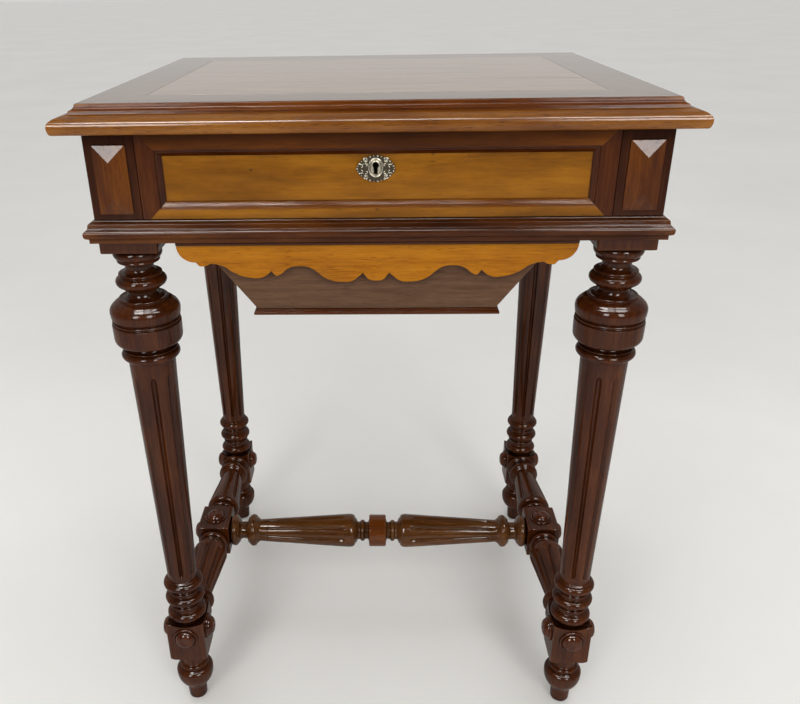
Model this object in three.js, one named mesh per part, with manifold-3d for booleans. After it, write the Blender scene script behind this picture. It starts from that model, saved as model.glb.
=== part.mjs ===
// A work table: a lift-up lid over a shallow well, a tapered work box that pulls out on runners,
// and four turned legs joined by an H of turned stretchers. Millimetres, +X right, +Y back,
// +Z up, origin on the floor at the middle of the table.
import * as THREE from 'three';
import { mergeVertices } from 'three/addons/utils/BufferGeometryUtils.js';
import Module from 'manifold-3d';

const wasm = await Module();
wasm.setup();

// ---- Driving dimensions ----
const GAP = 0.3; // clearance between neighbouring pieces
const TURN_SEGMENTS = 16; // sides of every turned piece
const BOSS_SEGMENTS = 12;
const TABLE_HEIGHT = 750;

const CASE_X = 266; // half-length of the frieze
const CASE_Y = 221; // half-depth of the frieze
const CASE_TOP = 725;
const CASE_BOTTOM = 644;
const POST = 46.5; // square corner posts of the frieze

const LID_BORDER = 50; // width of the mitred boards round the lid's field
const LID_FIELD_THICKNESS = 17;
const LID_EDGE = 22.3; // how far the lid's moulding reaches past the frieze

const BASE_FRAME_WIDTH = 50;
const BASE_BOTTOM = 623;

// depths behind the face of the frieze
const FRAME_FACE = 1;
const PANEL_FACE = 8;
const PANEL_BACK = 12.7;
const FRAME_BACK = 14;
const BOARD_BACK = 35;
const STILE = 15.7;
const TOP_RAIL = 16.4;
const BOTTOM_RAIL = 9.3;
const PANEL_MOULDING = 6.5; // width of the sloping moulding round each panel

const DIAMOND_WIDTH = 31.2;
const DIAMOND_HEIGHT = 63.6;
const DIAMOND_PROUD = 7.5;
const DIAMOND_RIDGE = 33.4; // length of the ridge along the middle of a diamond
const DIAMOND_Z = 681.8;
const SINK = 0.01; // how far a piece joined to another reaches into it

const LEG_X = 237;
const LEG_Y = 195.5;
const LEG_PLATE = 28; // half-width of the square plate on top of a leg
const PLATE_BOTTOM = 611.7;
const LEG_BLOCK = 23; // half-width of the square block that takes the stretcher
const BLOCK_BOTTOM = 80;
const STRETCHER_Z = 116;
const STRETCHER_BLOCK = { x: 22, y: 27, z: 22.8 }; // half-sizes
const BOSS_RADIUS = 15;
const BOSS_PROUD = 8;

const HINGE_X = 150;
const HINGE_HALF = 30;
const HINGE_LEAF = 1.7;
const HINGE_PIN = 1.5;
const HINGE_KNUCKLE = 3.2;
const HINGE_Y = CASE_Y + 4.5;
const HINGE_Z = CASE_TOP + GAP / 2;
const LEAF_DEPTH = 26;

const WELL_FLOOR = 8;
const DIVIDER_X = 85;
const DIVIDER_HEIGHT = 46;
const DIVIDER_THICKNESS = 6;

const KEYHOLE_Z = 691.6;
const KEYHOLE_RADIUS = 3.1;
const KEYHOLE_SLOT = { width: 3.6, drop: 7.8 };
const ESCUTCHEON = { width: 18.2, height: 12.4, z: 688.6, thickness: 1.6, lobes: 18 };
const LOCK = { half: 30, top: 724, bottom: 672, depth: 13, wall: 2.6 };
const LOCK_FRONT = BOARD_BACK + GAP - CASE_Y;
const LOCK_MIDDLE = LOCK_FRONT + LOCK.depth / 2;
const BOLT = { z: 711, halfHeight: 4.9, room: 5.5, back: -25, front: -5, prong: 1 };
const LINK = { halfX: 25, halfY: 6, thickness: 1.6 }; // the plate let into the lid
const EYE = { x: 4, half: 1.3, depth: 3.2, drop: 4.6 }; // the eye that the bolt's prong enters

const BOX_FRONT = -214; // front face of the work box's apron
const BOX_BACK = 150;
const BOX_TOP = 616.5;
const BOX_BOTTOM = 548;
const BOX_HALF_BOTTOM = 119.5;
const BOX_SLOPE = 0.787; // how much wider each side gets per millimetre of height
const BOX_BOARD = 10;
const BOX_SIDE_BOARD = 11;
const BOX_FLOOR_BOTTOM = 541.9;
const BOX_FLOOR_EDGE = 3.5; // how far the bottom board stands out all round
const APRON_THICKNESS = 8;
const APRON_HALF = 193.5;
const RUNNER = { inner: 155, outer: 184, bottom: 610, top: 616 };
const GUIDE = { lip: 176, web: 186, outer: 196, bottom: 604, half: 195 };

// ---- Finishes ----
const finish = (color, roughness, metalness = 0) =>
  new THREE.MeshStandardMaterial({ color, roughness, metalness });
const darkWood = finish(0x4a1f12, 0.28);
const redWood = finish(0x6b2f17, 0.3);
const goldWood = finish(0xa8621f, 0.32);
const fieldWood = finish(0x8a5a3a, 0.22);
const innerWood = finish(0x8a6238, 0.6);
const brass = finish(0xb08d4a, 0.35, 1);
const steel = finish(0x77777a, 0.4, 1);
const pewter = finish(0xa9a9a6, 0.35, 1);

const table = new THREE.Group();

function add(name, geometry, material) {
  const mesh = new THREE.Mesh(geometry, material);
  mesh.name = name;
  table.add(mesh);
  return mesh;
}

// ---- Solids: merged meshes that can be joined and cut ----
function toSolid(geometry) {
  const bare = geometry.clone();
  bare.deleteAttribute('normal');
  bare.deleteAttribute('uv');
  const merged = mergeVertices(bare, 1e-4);
  const index = merged.index.array;
  const corners = [];
  for (let i = 0; i < index.length; i += 3) {
    const triangle = [index[i], index[i + 1], index[i + 2]];
    if (new Set(triangle).size === 3) corners.push(...triangle);
  }
  return new wasm.Manifold(new wasm.Mesh({
    numProp: 3,
    vertProperties: merged.attributes.position.array,
    triVerts: Uint32Array.from(corners),
  }));
}

function toGeometry(solid) {
  const mesh = solid.getMesh();
  const geometry = new THREE.BufferGeometry();
  geometry.setAttribute('position', new THREE.BufferAttribute(mesh.vertProperties, 3));
  geometry.setIndex(new THREE.BufferAttribute(mesh.triVerts, 1));
  return geometry;
}

const join = (...geometries) =>
  toGeometry(geometries.map(toSolid).reduce((whole, piece) => whole.add(piece)));
const cut = (geometry, ...tools) =>
  toGeometry(tools.map(toSolid).reduce((rest, tool) => rest.subtract(tool), toSolid(geometry)));
const common = (a, b) => toGeometry(toSolid(a).intersect(toSolid(b)));

// ---- Shapes ----
function box(x0, x1, y0, y1, z0, z1) {
  const geometry = new THREE.BoxGeometry(x1 - x0, y1 - y0, z1 - z0);
  return geometry.translate((x0 + x1) / 2, (y0 + y1) / 2, (z0 + z1) / 2);
}

const points = (pairs) => pairs.map(([a, b]) => new THREE.Vector2(a, b));

// An outline in X and Z pushed along Y from y0 to y1.
function plate(outline, y0, y1, holes = []) {
  const shape = new THREE.Shape(points(outline));
  holes.forEach((hole) => shape.holes.push(new THREE.Path(points(hole))));
  const geometry = new THREE.ExtrudeGeometry(shape, { depth: y1 - y0, bevelEnabled: false });
  return geometry.rotateX(Math.PI / 2).translate(0, y1, 0);
}

// A turned solid about Z from [height, radius] pairs, read upwards, closed on the axis.
function turned(pairs, segments = TURN_SEGMENTS) {
  const first = pairs[0][0];
  const last = pairs[pairs.length - 1][0];
  const outline = [[first, 0], ...pairs, [last, 0]].map(([z, r]) => new THREE.Vector2(r, z));
  return new THREE.LatheGeometry(outline, segments).rotateX(Math.PI / 2);
}

// The [height, radius] pairs of a bead that swells from radius foot to radius crest.
function bead(centre, halfWidth, foot, crest) {
  const flat = halfWidth * 0.4;
  return [
    [centre - halfWidth, foot], [centre - flat, crest], [centre + flat, crest],
    [centre + halfWidth, foot],
  ];
}

const cylinderX = (x0, x1, radius, y, z) =>
  new THREE.CylinderGeometry(radius, radius, x1 - x0, 16)
    .rotateZ(Math.PI / 2)
    .translate((x0 + x1) / 2, y, z);

// One side of a mitred frame round a rectangle. The outline holds [out, z] pairs, with out
// measured from the rectangle's edge; quarter turns put it on the front, right, back or left.
const SIDES = ['front', 'right', 'back', 'left'];

function mitred(outline, side, halfX, halfY) {
  const along = side % 2 === 0;
  const halfRun = along ? halfX : halfY;
  const halfReach = along ? halfY : halfX;
  const shape = new THREE.Shape(points(outline));
  const geometry = new THREE.ExtrudeGeometry(shape, { depth: 1, bevelEnabled: false });
  const position = geometry.attributes.position;
  for (let i = 0; i < position.count; i += 1) {
    const out = position.getX(i);
    const z = position.getY(i);
    const end = position.getZ(i) > 0.5 ? 1 : -1;
    position.setXYZ(i, end * (halfRun + out - GAP / 2), -(halfReach + out), z);
  }
  flip(geometry);
  return geometry.rotateZ((side * Math.PI) / 2);
}

// Reverses the winding, for shapes whose mapping mirrors them.
function flip(geometry) {
  const position = geometry.attributes.position;
  for (let i = 0; i < position.count; i += 3) {
    const first = new THREE.Vector3().fromBufferAttribute(position, i);
    const last = new THREE.Vector3().fromBufferAttribute(position, i + 2);
    position.setXYZ(i, last.x, last.y, last.z);
    position.setXYZ(i + 2, first.x, first.y, first.z);
  }
}

// A block whose far face is shrunk: the four back corners of a box moved in by inset.
function taperedBlock(halfX, halfZ, y0, y1, inset, z) {
  const geometry = box(-halfX, halfX, y0, y1, -halfZ, halfZ);
  const position = geometry.attributes.position;
  for (let i = 0; i < position.count; i += 1) {
    if (Math.abs(position.getY(i) - y1) > 0.01) continue;
    position.setX(i, Math.sign(position.getX(i)) * (halfX - inset));
    position.setZ(i, Math.sign(position.getZ(i)) * (halfZ - inset));
  }
  return geometry.translate(0, 0, z);
}

// ---- Lid: a field in four mitred boards, with a moulded edge on each side ----
const LID_BOTTOM = CASE_TOP + GAP;

function lidEdgeOutline() {
  const nose = [[18.4, LID_BOTTOM], [21.2, 727.4], [LID_EDGE, 731], [21.8, 734.4], [19.7, 737.3],
    [16.3, 739.3], [6.6, 741.4]];
  const hollow = [[6, 744.2], [3.7, 745.8], [1.9, 748], [1.2, TABLE_HEIGHT]];
  return [[GAP, LID_BOTTOM], ...nose, ...hollow, [GAP, TABLE_HEIGHT]];
}

function hingeRecess(x, top) {
  const reach = HINGE_HALF + GAP;
  const leaf = box(-reach, reach, HINGE_Y - LEAF_DEPTH - GAP, HINGE_Y, 0, HINGE_LEAF + GAP);
  const pocket = HINGE_KNUCKLE + 0.6;
  const knuckle = box(-reach, reach, HINGE_Y - pocket, HINGE_Y + pocket, -pocket, pocket);
  return [
    leaf.translate(x, 0, top ? LID_BOTTOM - GAP / 2 : CASE_TOP - HINGE_LEAF - GAP / 2),
    knuckle.translate(x, 0, HINGE_Z),
  ];
}

function buildLid() {
  const fieldX = CASE_X - LID_BORDER - GAP;
  const fieldY = CASE_Y - LID_BORDER - GAP;
  const fieldBottom = TABLE_HEIGHT - LID_FIELD_THICKNESS;
  const field = box(-fieldX, fieldX, -fieldY, fieldY, fieldBottom, TABLE_HEIGHT);
  add('lid_field_panel', field, fieldWood);
  const inner = -LID_BORDER;
  const border = [[inner, LID_BOTTOM], [0, LID_BOTTOM], [0, TABLE_HEIGHT], [inner, TABLE_HEIGHT]];
  const recesses = [-HINGE_X, HINGE_X].flatMap((x) => hingeRecess(x, true));
  const linkX = LINK.halfX + GAP;
  const linkY = LINK.halfY + GAP;
  const linkRecess = box(-linkX, linkX, LOCK_MIDDLE - linkY, LOCK_MIDDLE + linkY, LID_BOTTOM - 1,
    LID_BOTTOM + LINK.thickness + GAP);
  SIDES.forEach((name, side) => {
    let board = mitred(border, side, CASE_X, CASE_Y);
    let edge = mitred(lidEdgeOutline(), side, CASE_X, CASE_Y);
    if (name === 'back') {
      board = cut(board, ...recesses);
      edge = cut(edge, ...recesses);
    }
    if (name === 'front') board = cut(board, linkRecess);
    add(`lid_border_${name}`, board, redWood);
    add(`lid_moulding_${name}`, edge, redWood);
  });
}

// ---- Frieze: corner posts, boards, framed panels and the moulding under them ----
const FRIEZE_Z0 = CASE_BOTTOM + GAP;
const FRIEZE_Z1 = CASE_TOP - GAP;
const FRIEZE_HALF_X = CASE_X - POST - GAP;
const FRIEZE_HALF_Y = CASE_Y - POST - GAP;

// A hipped block with a ridge along its middle, standing on the plane y = 0 and facing -Y.
function diamond() {
  const geometry = box(-DIAMOND_WIDTH / 2, DIAMOND_WIDTH / 2, -DIAMOND_PROUD, 0, -DIAMOND_HEIGHT / 2,
    DIAMOND_HEIGHT / 2);
  const position = geometry.attributes.position;
  for (let i = 0; i < position.count; i += 1) {
    if (position.getY(i) > -0.01) continue;
    position.setX(i, 0);
    position.setZ(i, (Math.sign(position.getZ(i)) * DIAMOND_RIDGE) / 2);
  }
  return geometry;
}

function buildPosts() {
  const postMiddle = POST / 2;
  for (const [sideName, sx] of [['left', -1], ['right', 1]]) {
    for (const [endName, sy] of [['front', -1], ['back', 1]]) {
      const x = sx * (CASE_X - postMiddle);
      const y = sy * (CASE_Y - postMiddle);
      const post = box(-postMiddle, postMiddle, -postMiddle, postMiddle, FRIEZE_Z0, FRIEZE_Z1);
      const diamondTurned = (angle) =>
        diamond().translate(0, SINK - postMiddle, 0).rotateZ(angle).translate(x, y, DIAMOND_Z);
      const pieces = [post.translate(x, y, 0), diamondTurned((sx * Math.PI) / 2)];
      if (endName === 'back') {
        pieces.push(diamondTurned(Math.PI));
      } else {
        const front = diamond().translate(x, -CASE_Y - GAP, DIAMOND_Z);
        add(`diamond_block_front_${sideName}`, front, goldWood);
      }
      add(`corner_post_${endName}_${sideName}`, join(...pieces), darkWood);
    }
  }
}

const PANEL_Z0 = CASE_BOTTOM + BOTTOM_RAIL;
const PANEL_Z1 = CASE_TOP - TOP_RAIL;
const PANEL_MIDDLE = (PANEL_Z0 + PANEL_Z1) / 2;
const PANEL_HALF_Z = (PANEL_Z1 - PANEL_Z0) / 2;

// A frame that faces -Y on a case face at y = -reach, with a straight opening.
function openFrame(halfRun, reach) {
  const frame = box(-halfRun, halfRun, FRAME_FACE - reach, FRAME_BACK - reach, FRIEZE_Z0, FRIEZE_Z1);
  const half = halfRun - STILE;
  return cut(frame, box(-half, half, -reach, -reach + BOARD_BACK, PANEL_Z0, PANEL_Z1));
}

// The same frame, thinner, with its sloping moulding worked on it.
function mouldedFrame(halfRun, reach) {
  const frame = box(-halfRun, halfRun, FRAME_FACE - reach, PANEL_FACE - reach, FRIEZE_Z0, FRIEZE_Z1);
  return cut(frame, slopingHole(halfRun - STILE, PANEL_HALF_Z, FRAME_FACE - reach, PANEL_FACE - reach));
}

function slopingHole(halfX, halfZ, y0, y1) {
  return taperedBlock(halfX, halfZ, y0 - SINK, y1 + SINK, PANEL_MOULDING, PANEL_MIDDLE);
}

function panelMoulding(halfRun, reach) {
  const halfX = halfRun - STILE - GAP;
  const halfZ = PANEL_HALF_Z - GAP;
  const face = FRAME_FACE + 1 - reach;
  const back = PANEL_FACE - GAP - reach;
  const blank = box(-halfX, halfX, face, back, PANEL_MIDDLE - halfZ, PANEL_MIDDLE + halfZ);
  return cut(blank, slopingHole(halfX - 1, halfZ - 1, face, back));
}

// A keyhole along Y, round above with a slot hanging from it.
function keyhole(y0, y1) {
  const round = new THREE.CylinderGeometry(KEYHOLE_RADIUS, KEYHOLE_RADIUS, y1 - y0, 16);
  round.translate(0, (y0 + y1) / 2, KEYHOLE_Z);
  const half = KEYHOLE_SLOT.width / 2;
  return join(round, box(-half, half, y0, y1, KEYHOLE_Z - KEYHOLE_SLOT.drop, KEYHOLE_Z));
}

function buildFrieze() {
  buildPosts();
  const z = [FRIEZE_Z0, FRIEZE_Z1];
  const recesses = [-HINGE_X, HINGE_X].flatMap((x) => hingeRecess(x, false));
  const boardFace = FRAME_BACK + GAP - CASE_Y;
  const frontBoard = box(-FRIEZE_HALF_X, FRIEZE_HALF_X, boardFace, BOARD_BACK - CASE_Y, ...z);
  add('frieze_board_front', cut(frontBoard, keyhole(-CASE_Y, LOCK_FRONT)), innerWood);
  const backFace = CASE_Y - PANEL_FACE - GAP;
  const backBoard = box(-FRIEZE_HALF_X, FRIEZE_HALF_X, CASE_Y - BOARD_BACK, backFace, ...z);
  add('frieze_board_back', cut(backBoard, ...recesses), goldWood);
  for (const [name, side] of [['left', -1], ['right', 1]]) {
    const near = side * (CASE_X - PANEL_FACE - GAP);
    const far = side * (CASE_X - BOARD_BACK);
    const board = box(Math.min(near, far), Math.max(near, far), -FRIEZE_HALF_Y, FRIEZE_HALF_Y, ...z);
    add(`frieze_board_${name}`, board, goldWood);
    const frame = mouldedFrame(FRIEZE_HALF_Y, CASE_X).rotateZ((side * Math.PI) / 2);
    add(`panel_frame_${name}`, frame, darkWood);
  }
  add('panel_frame_front', openFrame(FRIEZE_HALF_X, CASE_Y), redWood);
  add('panel_moulding_front', panelMoulding(FRIEZE_HALF_X, CASE_Y), darkWood);
  const backFrame = mouldedFrame(FRIEZE_HALF_X, CASE_Y).rotateZ(Math.PI);
  add('panel_frame_back', cut(backFrame, ...recesses), darkWood);
  const panelHalf = FRIEZE_HALF_X - STILE - GAP;
  const panel = box(-panelHalf, panelHalf, PANEL_FACE - CASE_Y, PANEL_BACK - CASE_Y, PANEL_Z0 + GAP,
    PANEL_Z1 - GAP);
  add('frieze_panel_front', cut(panel, keyhole(-CASE_Y, LOCK_FRONT)), goldWood);

  const baseOutline = [[-BASE_FRAME_WIDTH, BASE_BOTTOM], [5.9, BASE_BOTTOM], [5.9, 627], [8.4, 628.2],
    [10.2, 631.6], [8.8, 635.2], [6.2, 637.4], [5.5, 641.2], [1.6, 642.8], [0, CASE_BOTTOM],
    [-BASE_FRAME_WIDTH, CASE_BOTTOM]];
  SIDES.forEach((name, side) => {
    add(`base_moulding_${name}`, mitred(baseOutline, side, CASE_X, CASE_Y), darkWood);
  });
}

// ---- Well: a floor and two dividers inside the frieze ----
const WELL_X = CASE_X - BOARD_BACK - GAP;
const WELL_Y = CASE_Y - BOARD_BACK - GAP;
const WELL_TOP = FRIEZE_Z0 + WELL_FLOOR;

function buildWell() {
  const corner = [[WELL_X, FRIEZE_HALF_Y], [FRIEZE_HALF_X, FRIEZE_HALF_Y], [FRIEZE_HALF_X, WELL_Y]];
  const quarter = (sx, sy) => corner.map(([x, y]) => [sx * x, sy * y]);
  const outline = [...quarter(1, 1), ...quarter(-1, 1).reverse(), ...quarter(-1, -1),
    ...quarter(1, -1).reverse()];
  const floor = new THREE.ExtrudeGeometry(new THREE.Shape(points(outline)), {
    depth: WELL_FLOOR,
    bevelEnabled: false,
  });
  add('well_bottom', floor.translate(0, 0, FRIEZE_Z0), innerWood);
  [-1, 1].forEach((side, i) => {
    const x = side * DIVIDER_X;
    const half = DIVIDER_THICKNESS / 2;
    const divider = box(x - half, x + half, -WELL_Y, WELL_Y, WELL_TOP + GAP, WELL_TOP + DIVIDER_HEIGHT);
    add(`compartment_divider_${i + 1}`, divider, innerWood);
  });
}

// ---- Hinges: two brass butts let into the frieze and the lid ----
function knuckles(x, spans) {
  return spans.map(([from, to]) => cylinderX(x + from, x + to, HINGE_KNUCKLE, HINGE_Y, HINGE_Z));
}

function buildHinges() {
  const third = HINGE_HALF / 3;
  const end = HINGE_HALF - GAP;
  for (const [name, x] of [['left', -HINGE_X], ['right', HINGE_X]]) {
    const leaf = (z0, z1) => box(x - end, x + end, HINGE_Y - LEAF_DEPTH, HINGE_Y, z0, z1);
    const bore = cylinderX(x - 40, x + 40, HINGE_PIN + GAP, HINGE_Y, HINGE_Z);
    const room = (from, to) => {
      const clear = HINGE_KNUCKLE + GAP;
      return box(x + from, x + to, HINGE_Y - clear, HINGE_Y + clear, HINGE_Z - clear, HINGE_Z + clear);
    };
    const lowerLeaf = cut(leaf(CASE_TOP - HINGE_LEAF, CASE_TOP), room(-third, third));
    const lower = join(lowerLeaf, ...knuckles(x, [[-end, -third], [third, end]]));
    add(`hinge_lower_leaf_${name}`, cut(lower, bore), brass);
    const upperLeaf = cut(leaf(LID_BOTTOM, LID_BOTTOM + HINGE_LEAF), room(-end - 1, GAP - third),
      room(third - GAP, end + 1));
    const upper = join(upperLeaf, ...knuckles(x, [[GAP - third, third - GAP]]));
    add(`hinge_upper_leaf_${name}`, cut(upper, bore), brass);
    add(`hinge_pin_${name}`, cylinderX(x - HINGE_HALF, x + HINGE_HALF, HINGE_PIN, HINGE_Y, HINGE_Z), steel);
  }
}

// ---- Lock: case, sliding bolt, link plate on the lid and a scalloped escutcheon ----
function escutcheonOutline() {
  const { width, height, lobes } = ESCUTCHEON;
  const count = lobes * 2;
  return Array.from({ length: count }, (_, i) => {
    const angle = (2 * Math.PI * i) / count;
    const lozenge = 0.9 + 0.1 * Math.cos(4 * angle);
    const scallop = 1 - 0.06 * Math.abs(Math.sin((lobes * angle) / 2));
    return [width * lozenge * scallop * Math.cos(angle), height * lozenge * scallop * Math.sin(angle)];
  });
}

function buildLock() {
  const back = LOCK_FRONT + LOCK.depth;
  const inner = [LOCK_FRONT + LOCK.wall, back - LOCK.wall];
  const casing = box(-LOCK.half, LOCK.half, LOCK_FRONT, back, LOCK.bottom, LOCK.top);
  const boltRoom = box(-26, 26, ...inner, BOLT.z - BOLT.room, BOLT.z + BOLT.room);
  const eyeRoom = box(-12, 12, ...inner, BOLT.z, LOCK.top + 1);
  const keyRoom = box(-9, 9, ...inner, LOCK.bottom + 7, BOLT.z);
  const keyPassage = keyhole(LOCK_FRONT - 1, LOCK_FRONT + LOCK.wall + 1);
  add('lock_case', cut(casing, boltRoom, eyeRoom, keyRoom, keyPassage), brass);

  const slack = 0.6;
  const slide = box(BOLT.back, BOLT.front, inner[0] + slack, inner[1] - slack, BOLT.z - BOLT.halfHeight,
    BOLT.z + BOLT.halfHeight);
  const prong = box(BOLT.front - 1, BOLT.prong, LOCK_MIDDLE - 1.2, LOCK_MIDDLE + 1.2, BOLT.z - 1.8,
    BOLT.z + 1.8);
  add('lock_bolt', join(slide, prong), steel);

  const link = box(-LINK.halfX, LINK.halfX, LOCK_MIDDLE - LINK.halfY, LOCK_MIDDLE + LINK.halfY,
    LID_BOTTOM, LID_BOTTOM + LINK.thickness);
  const eye = box(EYE.x - EYE.half, EYE.x + EYE.half, LOCK_MIDDLE - EYE.depth, LOCK_MIDDLE + EYE.depth,
    BOLT.z - EYE.drop, LID_BOTTOM + 0.5);
  const hole = box(EYE.x - 5, EYE.x + 5, LOCK_MIDDLE - 1.8, LOCK_MIDDLE + 1.8, BOLT.z - 2.6, BOLT.z + 2.6);
  add('lock_link_plate', cut(join(link, eye), hole), brass);

  const face = PANEL_FACE - GAP - CASE_Y;
  const outline = escutcheonOutline().map(([x, z]) => [x, ESCUTCHEON.z + z]);
  const shield = plate(outline, face - ESCUTCHEON.thickness, face);
  const oval = new THREE.CylinderGeometry(6, 6.4, 1.4, 20).scale(1, 1, 1.15);
  oval.rotateX(Math.PI).translate(0, face - ESCUTCHEON.thickness - 0.4, ESCUTCHEON.z);
  add('escutcheon', cut(join(shield, oval), keyhole(face - 6, face + 1)), pewter);
}

// ---- Legs: turned, with a square plate on top and a square block for the stretcher ----
function legOutline() {
  return [
    [0, 9.6], [2.5, 11.4], [17, 12], [27.9, 18.5], [36, 22.2], [45.2, 22.9], [52, 19.5],
    [55, 16.5], [58, 18], [62, 14.3], [84, 14.3], [132, 17],
    ...bead(143.9, 5.6, 18, 23.2), [154.4, 17.6], ...bead(167.2, 6.4, 18.6, 23.3),
    [177.5, 18.6], ...bead(189.2, 6.8, 18.4, 23.3), [197, 17.4],
    [487, 24.3], [491, 28.4], [496.8, 29.6], [504.8, 25.6], [509.4, 31.6], [514, 35],
    [530, 35.2], [532, 33], [534.8, 34.8], [541, 35.2], [550.7, 33], [558.9, 23.5],
    [564.3, 14.5], [570.2, 20.8], [578.2, 25.5], [586.6, 21.6], [592.1, 13.9], [599.2, 21],
    [605, 24.6], [PLATE_BOTTOM + 0.5, 24.4],
  ];
}

// The square block, its ends trimmed by a turning tool: dished above, rounded below.
function legBlock() {
  const half = LEG_BLOCK;
  const blank = box(-half, half, -half, half, BLOCK_BOTTOM, 142);
  const corner = 33.6;
  const trim = new THREE.LatheGeometry(
    points([[0, BLOCK_BOTTOM], [28.5, BLOCK_BOTTOM], [corner, BLOCK_BOTTOM + 2.5], [corner, 140.6],
      [half, 133], [16, 131], [0, 131]]),
    TURN_SEGMENTS,
  );
  return common(blank, trim.rotateX(Math.PI / 2));
}

// A boss on the plane z = 0, pointing up: a ring round a dome.
function boss() {
  return turned([[-0.5, BOSS_RADIUS], [2, BOSS_RADIUS], [2.2, 12], [5.6, 9.6], [BOSS_PROUD, 3]],
    BOSS_SEGMENTS);
}

const bossFacing = (direction, x, y, z) => {
  const turn = new THREE.Quaternion().setFromUnitVectors(new THREE.Vector3(0, 0, 1), direction);
  return boss().applyQuaternion(turn).translate(x, y, z);
};

function buildLegs() {
  const turning = turned(legOutline());
  const top = box(-LEG_PLATE, LEG_PLATE, -LEG_PLATE, LEG_PLATE, PLATE_BOTTOM, BASE_BOTTOM - GAP);
  const leg = join(turning, top, legBlock());
  for (const [sideName, sx] of [['left', -1], ['right', 1]]) {
    for (const [endName, sy] of [['front', -1], ['back', 1]]) {
      const faces = [[sx, 0], [-sx, 0], [0, sy]];
      const bosses = faces.map(([dx, dy]) =>
        bossFacing(new THREE.Vector3(dx, dy, 0), dx * LEG_BLOCK, dy * LEG_BLOCK, STRETCHER_Z));
      const mesh = add(`leg_${endName}_${sideName}`, join(leg, ...bosses), darkWood);
      mesh.position.set(sx * LEG_X, sy * LEG_Y, 0);
    }
  }
}

// ---- Stretchers: one along each side, with a block in the middle, and one across ----
function sideStretcherOutline() {
  const end = LEG_Y - LEG_BLOCK - GAP;
  return [
    [STRETCHER_BLOCK.y - 1, 15], ...bead(32.5, 4.2, 15, 21), ...bead(41, 3.6, 14.5, 19.5),
    [46, 18], [50, 22.4], [55, 24], [end - 32.2, 16], [end - 28.2, 19],
    ...bead(end - 23.2, 4, 18.6, 21.6), [end - 17.2, 12.5], [end - 13.2, 13],
    ...bead(end - 7, 5.6, 17, 22.8), [end, 17],
  ];
}

function crossStretcherOutline() {
  const end = LEG_X - STRETCHER_BLOCK.x - GAP;
  const half = [
    [11, 22.8], [12.2, 21.6], [14.6, 12.5], [17.5, 13.2], [21.9, 15.4], [26.3, 13.6], [32.2, 18.4],
    [36, 22.8], [41, 23.9], [end - 42.2, 15.8], [end - 38.5, 18.8], [end - 32.6, 23.2],
    [end - 26, 19.1], [end - 19.4, 11.8], [end - 11.3, 18.4], [end - 4, 22.8], [end, 19],
  ];
  const mirrored = half.map(([x, r]) => [-x, r]).reverse();
  return [...mirrored, ...half];
}

function buildStretchers() {
  const { x: blockX, y: blockY, z: blockZ } = STRETCHER_BLOCK;
  const arm = turned(sideStretcherOutline());
  for (const [name, side] of [['left', -1], ['right', 1]]) {
    const pieces = [
      box(-blockX, blockX, -blockY, blockY, -blockZ, blockZ),
      arm.clone().rotateX(Math.PI / 2),
      arm.clone().rotateX(-Math.PI / 2),
      bossFacing(new THREE.Vector3(side, 0, 0), side * blockX, 0, 0),
      bossFacing(new THREE.Vector3(0, 0, 1), 0, 0, blockZ),
    ];
    const mesh = add(`side_stretcher_${name}`, join(...pieces), darkWood);
    mesh.position.set(side * LEG_X, 0, STRETCHER_Z);
  }
  const cross = turned(crossStretcherOutline()).rotateY(Math.PI / 2);
  add('cross_stretcher', cross.translate(0, 0, STRETCHER_Z), darkWood);
}

// ---- Work box: a tapered box behind a scalloped apron, sliding on side runners ----
const BOX_PLANE = BOX_FRONT + APRON_THICKNESS + GAP; // front face of the box behind the apron
const sideAt = (z) => BOX_HALF_BOTTOM + BOX_SLOPE * (z - BOX_BOTTOM);

function apronOutline() {
  const lower = new THREE.Shape();
  lower.moveTo(APRON_HALF, 612.5);
  lower.quadraticCurveTo(APRON_HALF - 2, 601, 181.2, 599.5);
  lower.lineTo(175.8, 599.4);
  lower.lineTo(172.5, 595.5);
  lower.quadraticCurveTo(168, 599, 162, 598);
  lower.bezierCurveTo(148, 596.5, 140, 583.5, 120.7, 583.5);
  lower.quadraticCurveTo(108, 583.5, 102.3, 590);
  lower.bezierCurveTo(101, 586.5, 96, 585, 92, 588);
  lower.bezierCurveTo(86, 593, 81, 595, 75, 595);
  lower.bezierCurveTo(58, 595, 48, 579, 32, 579);
  lower.quadraticCurveTo(19, 579, 12.7, 587.7);
  lower.quadraticCurveTo(8, 580.2, 0, 580.2);
  const right = lower.getPoints(4).map((p) => [p.x, p.y]);
  const left = right.slice(0, -1).map(([x, z]) => [-x, z]).reverse();
  return [[APRON_HALF, BOX_TOP], ...right, ...left, [-APRON_HALF, BOX_TOP]];
}

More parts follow.
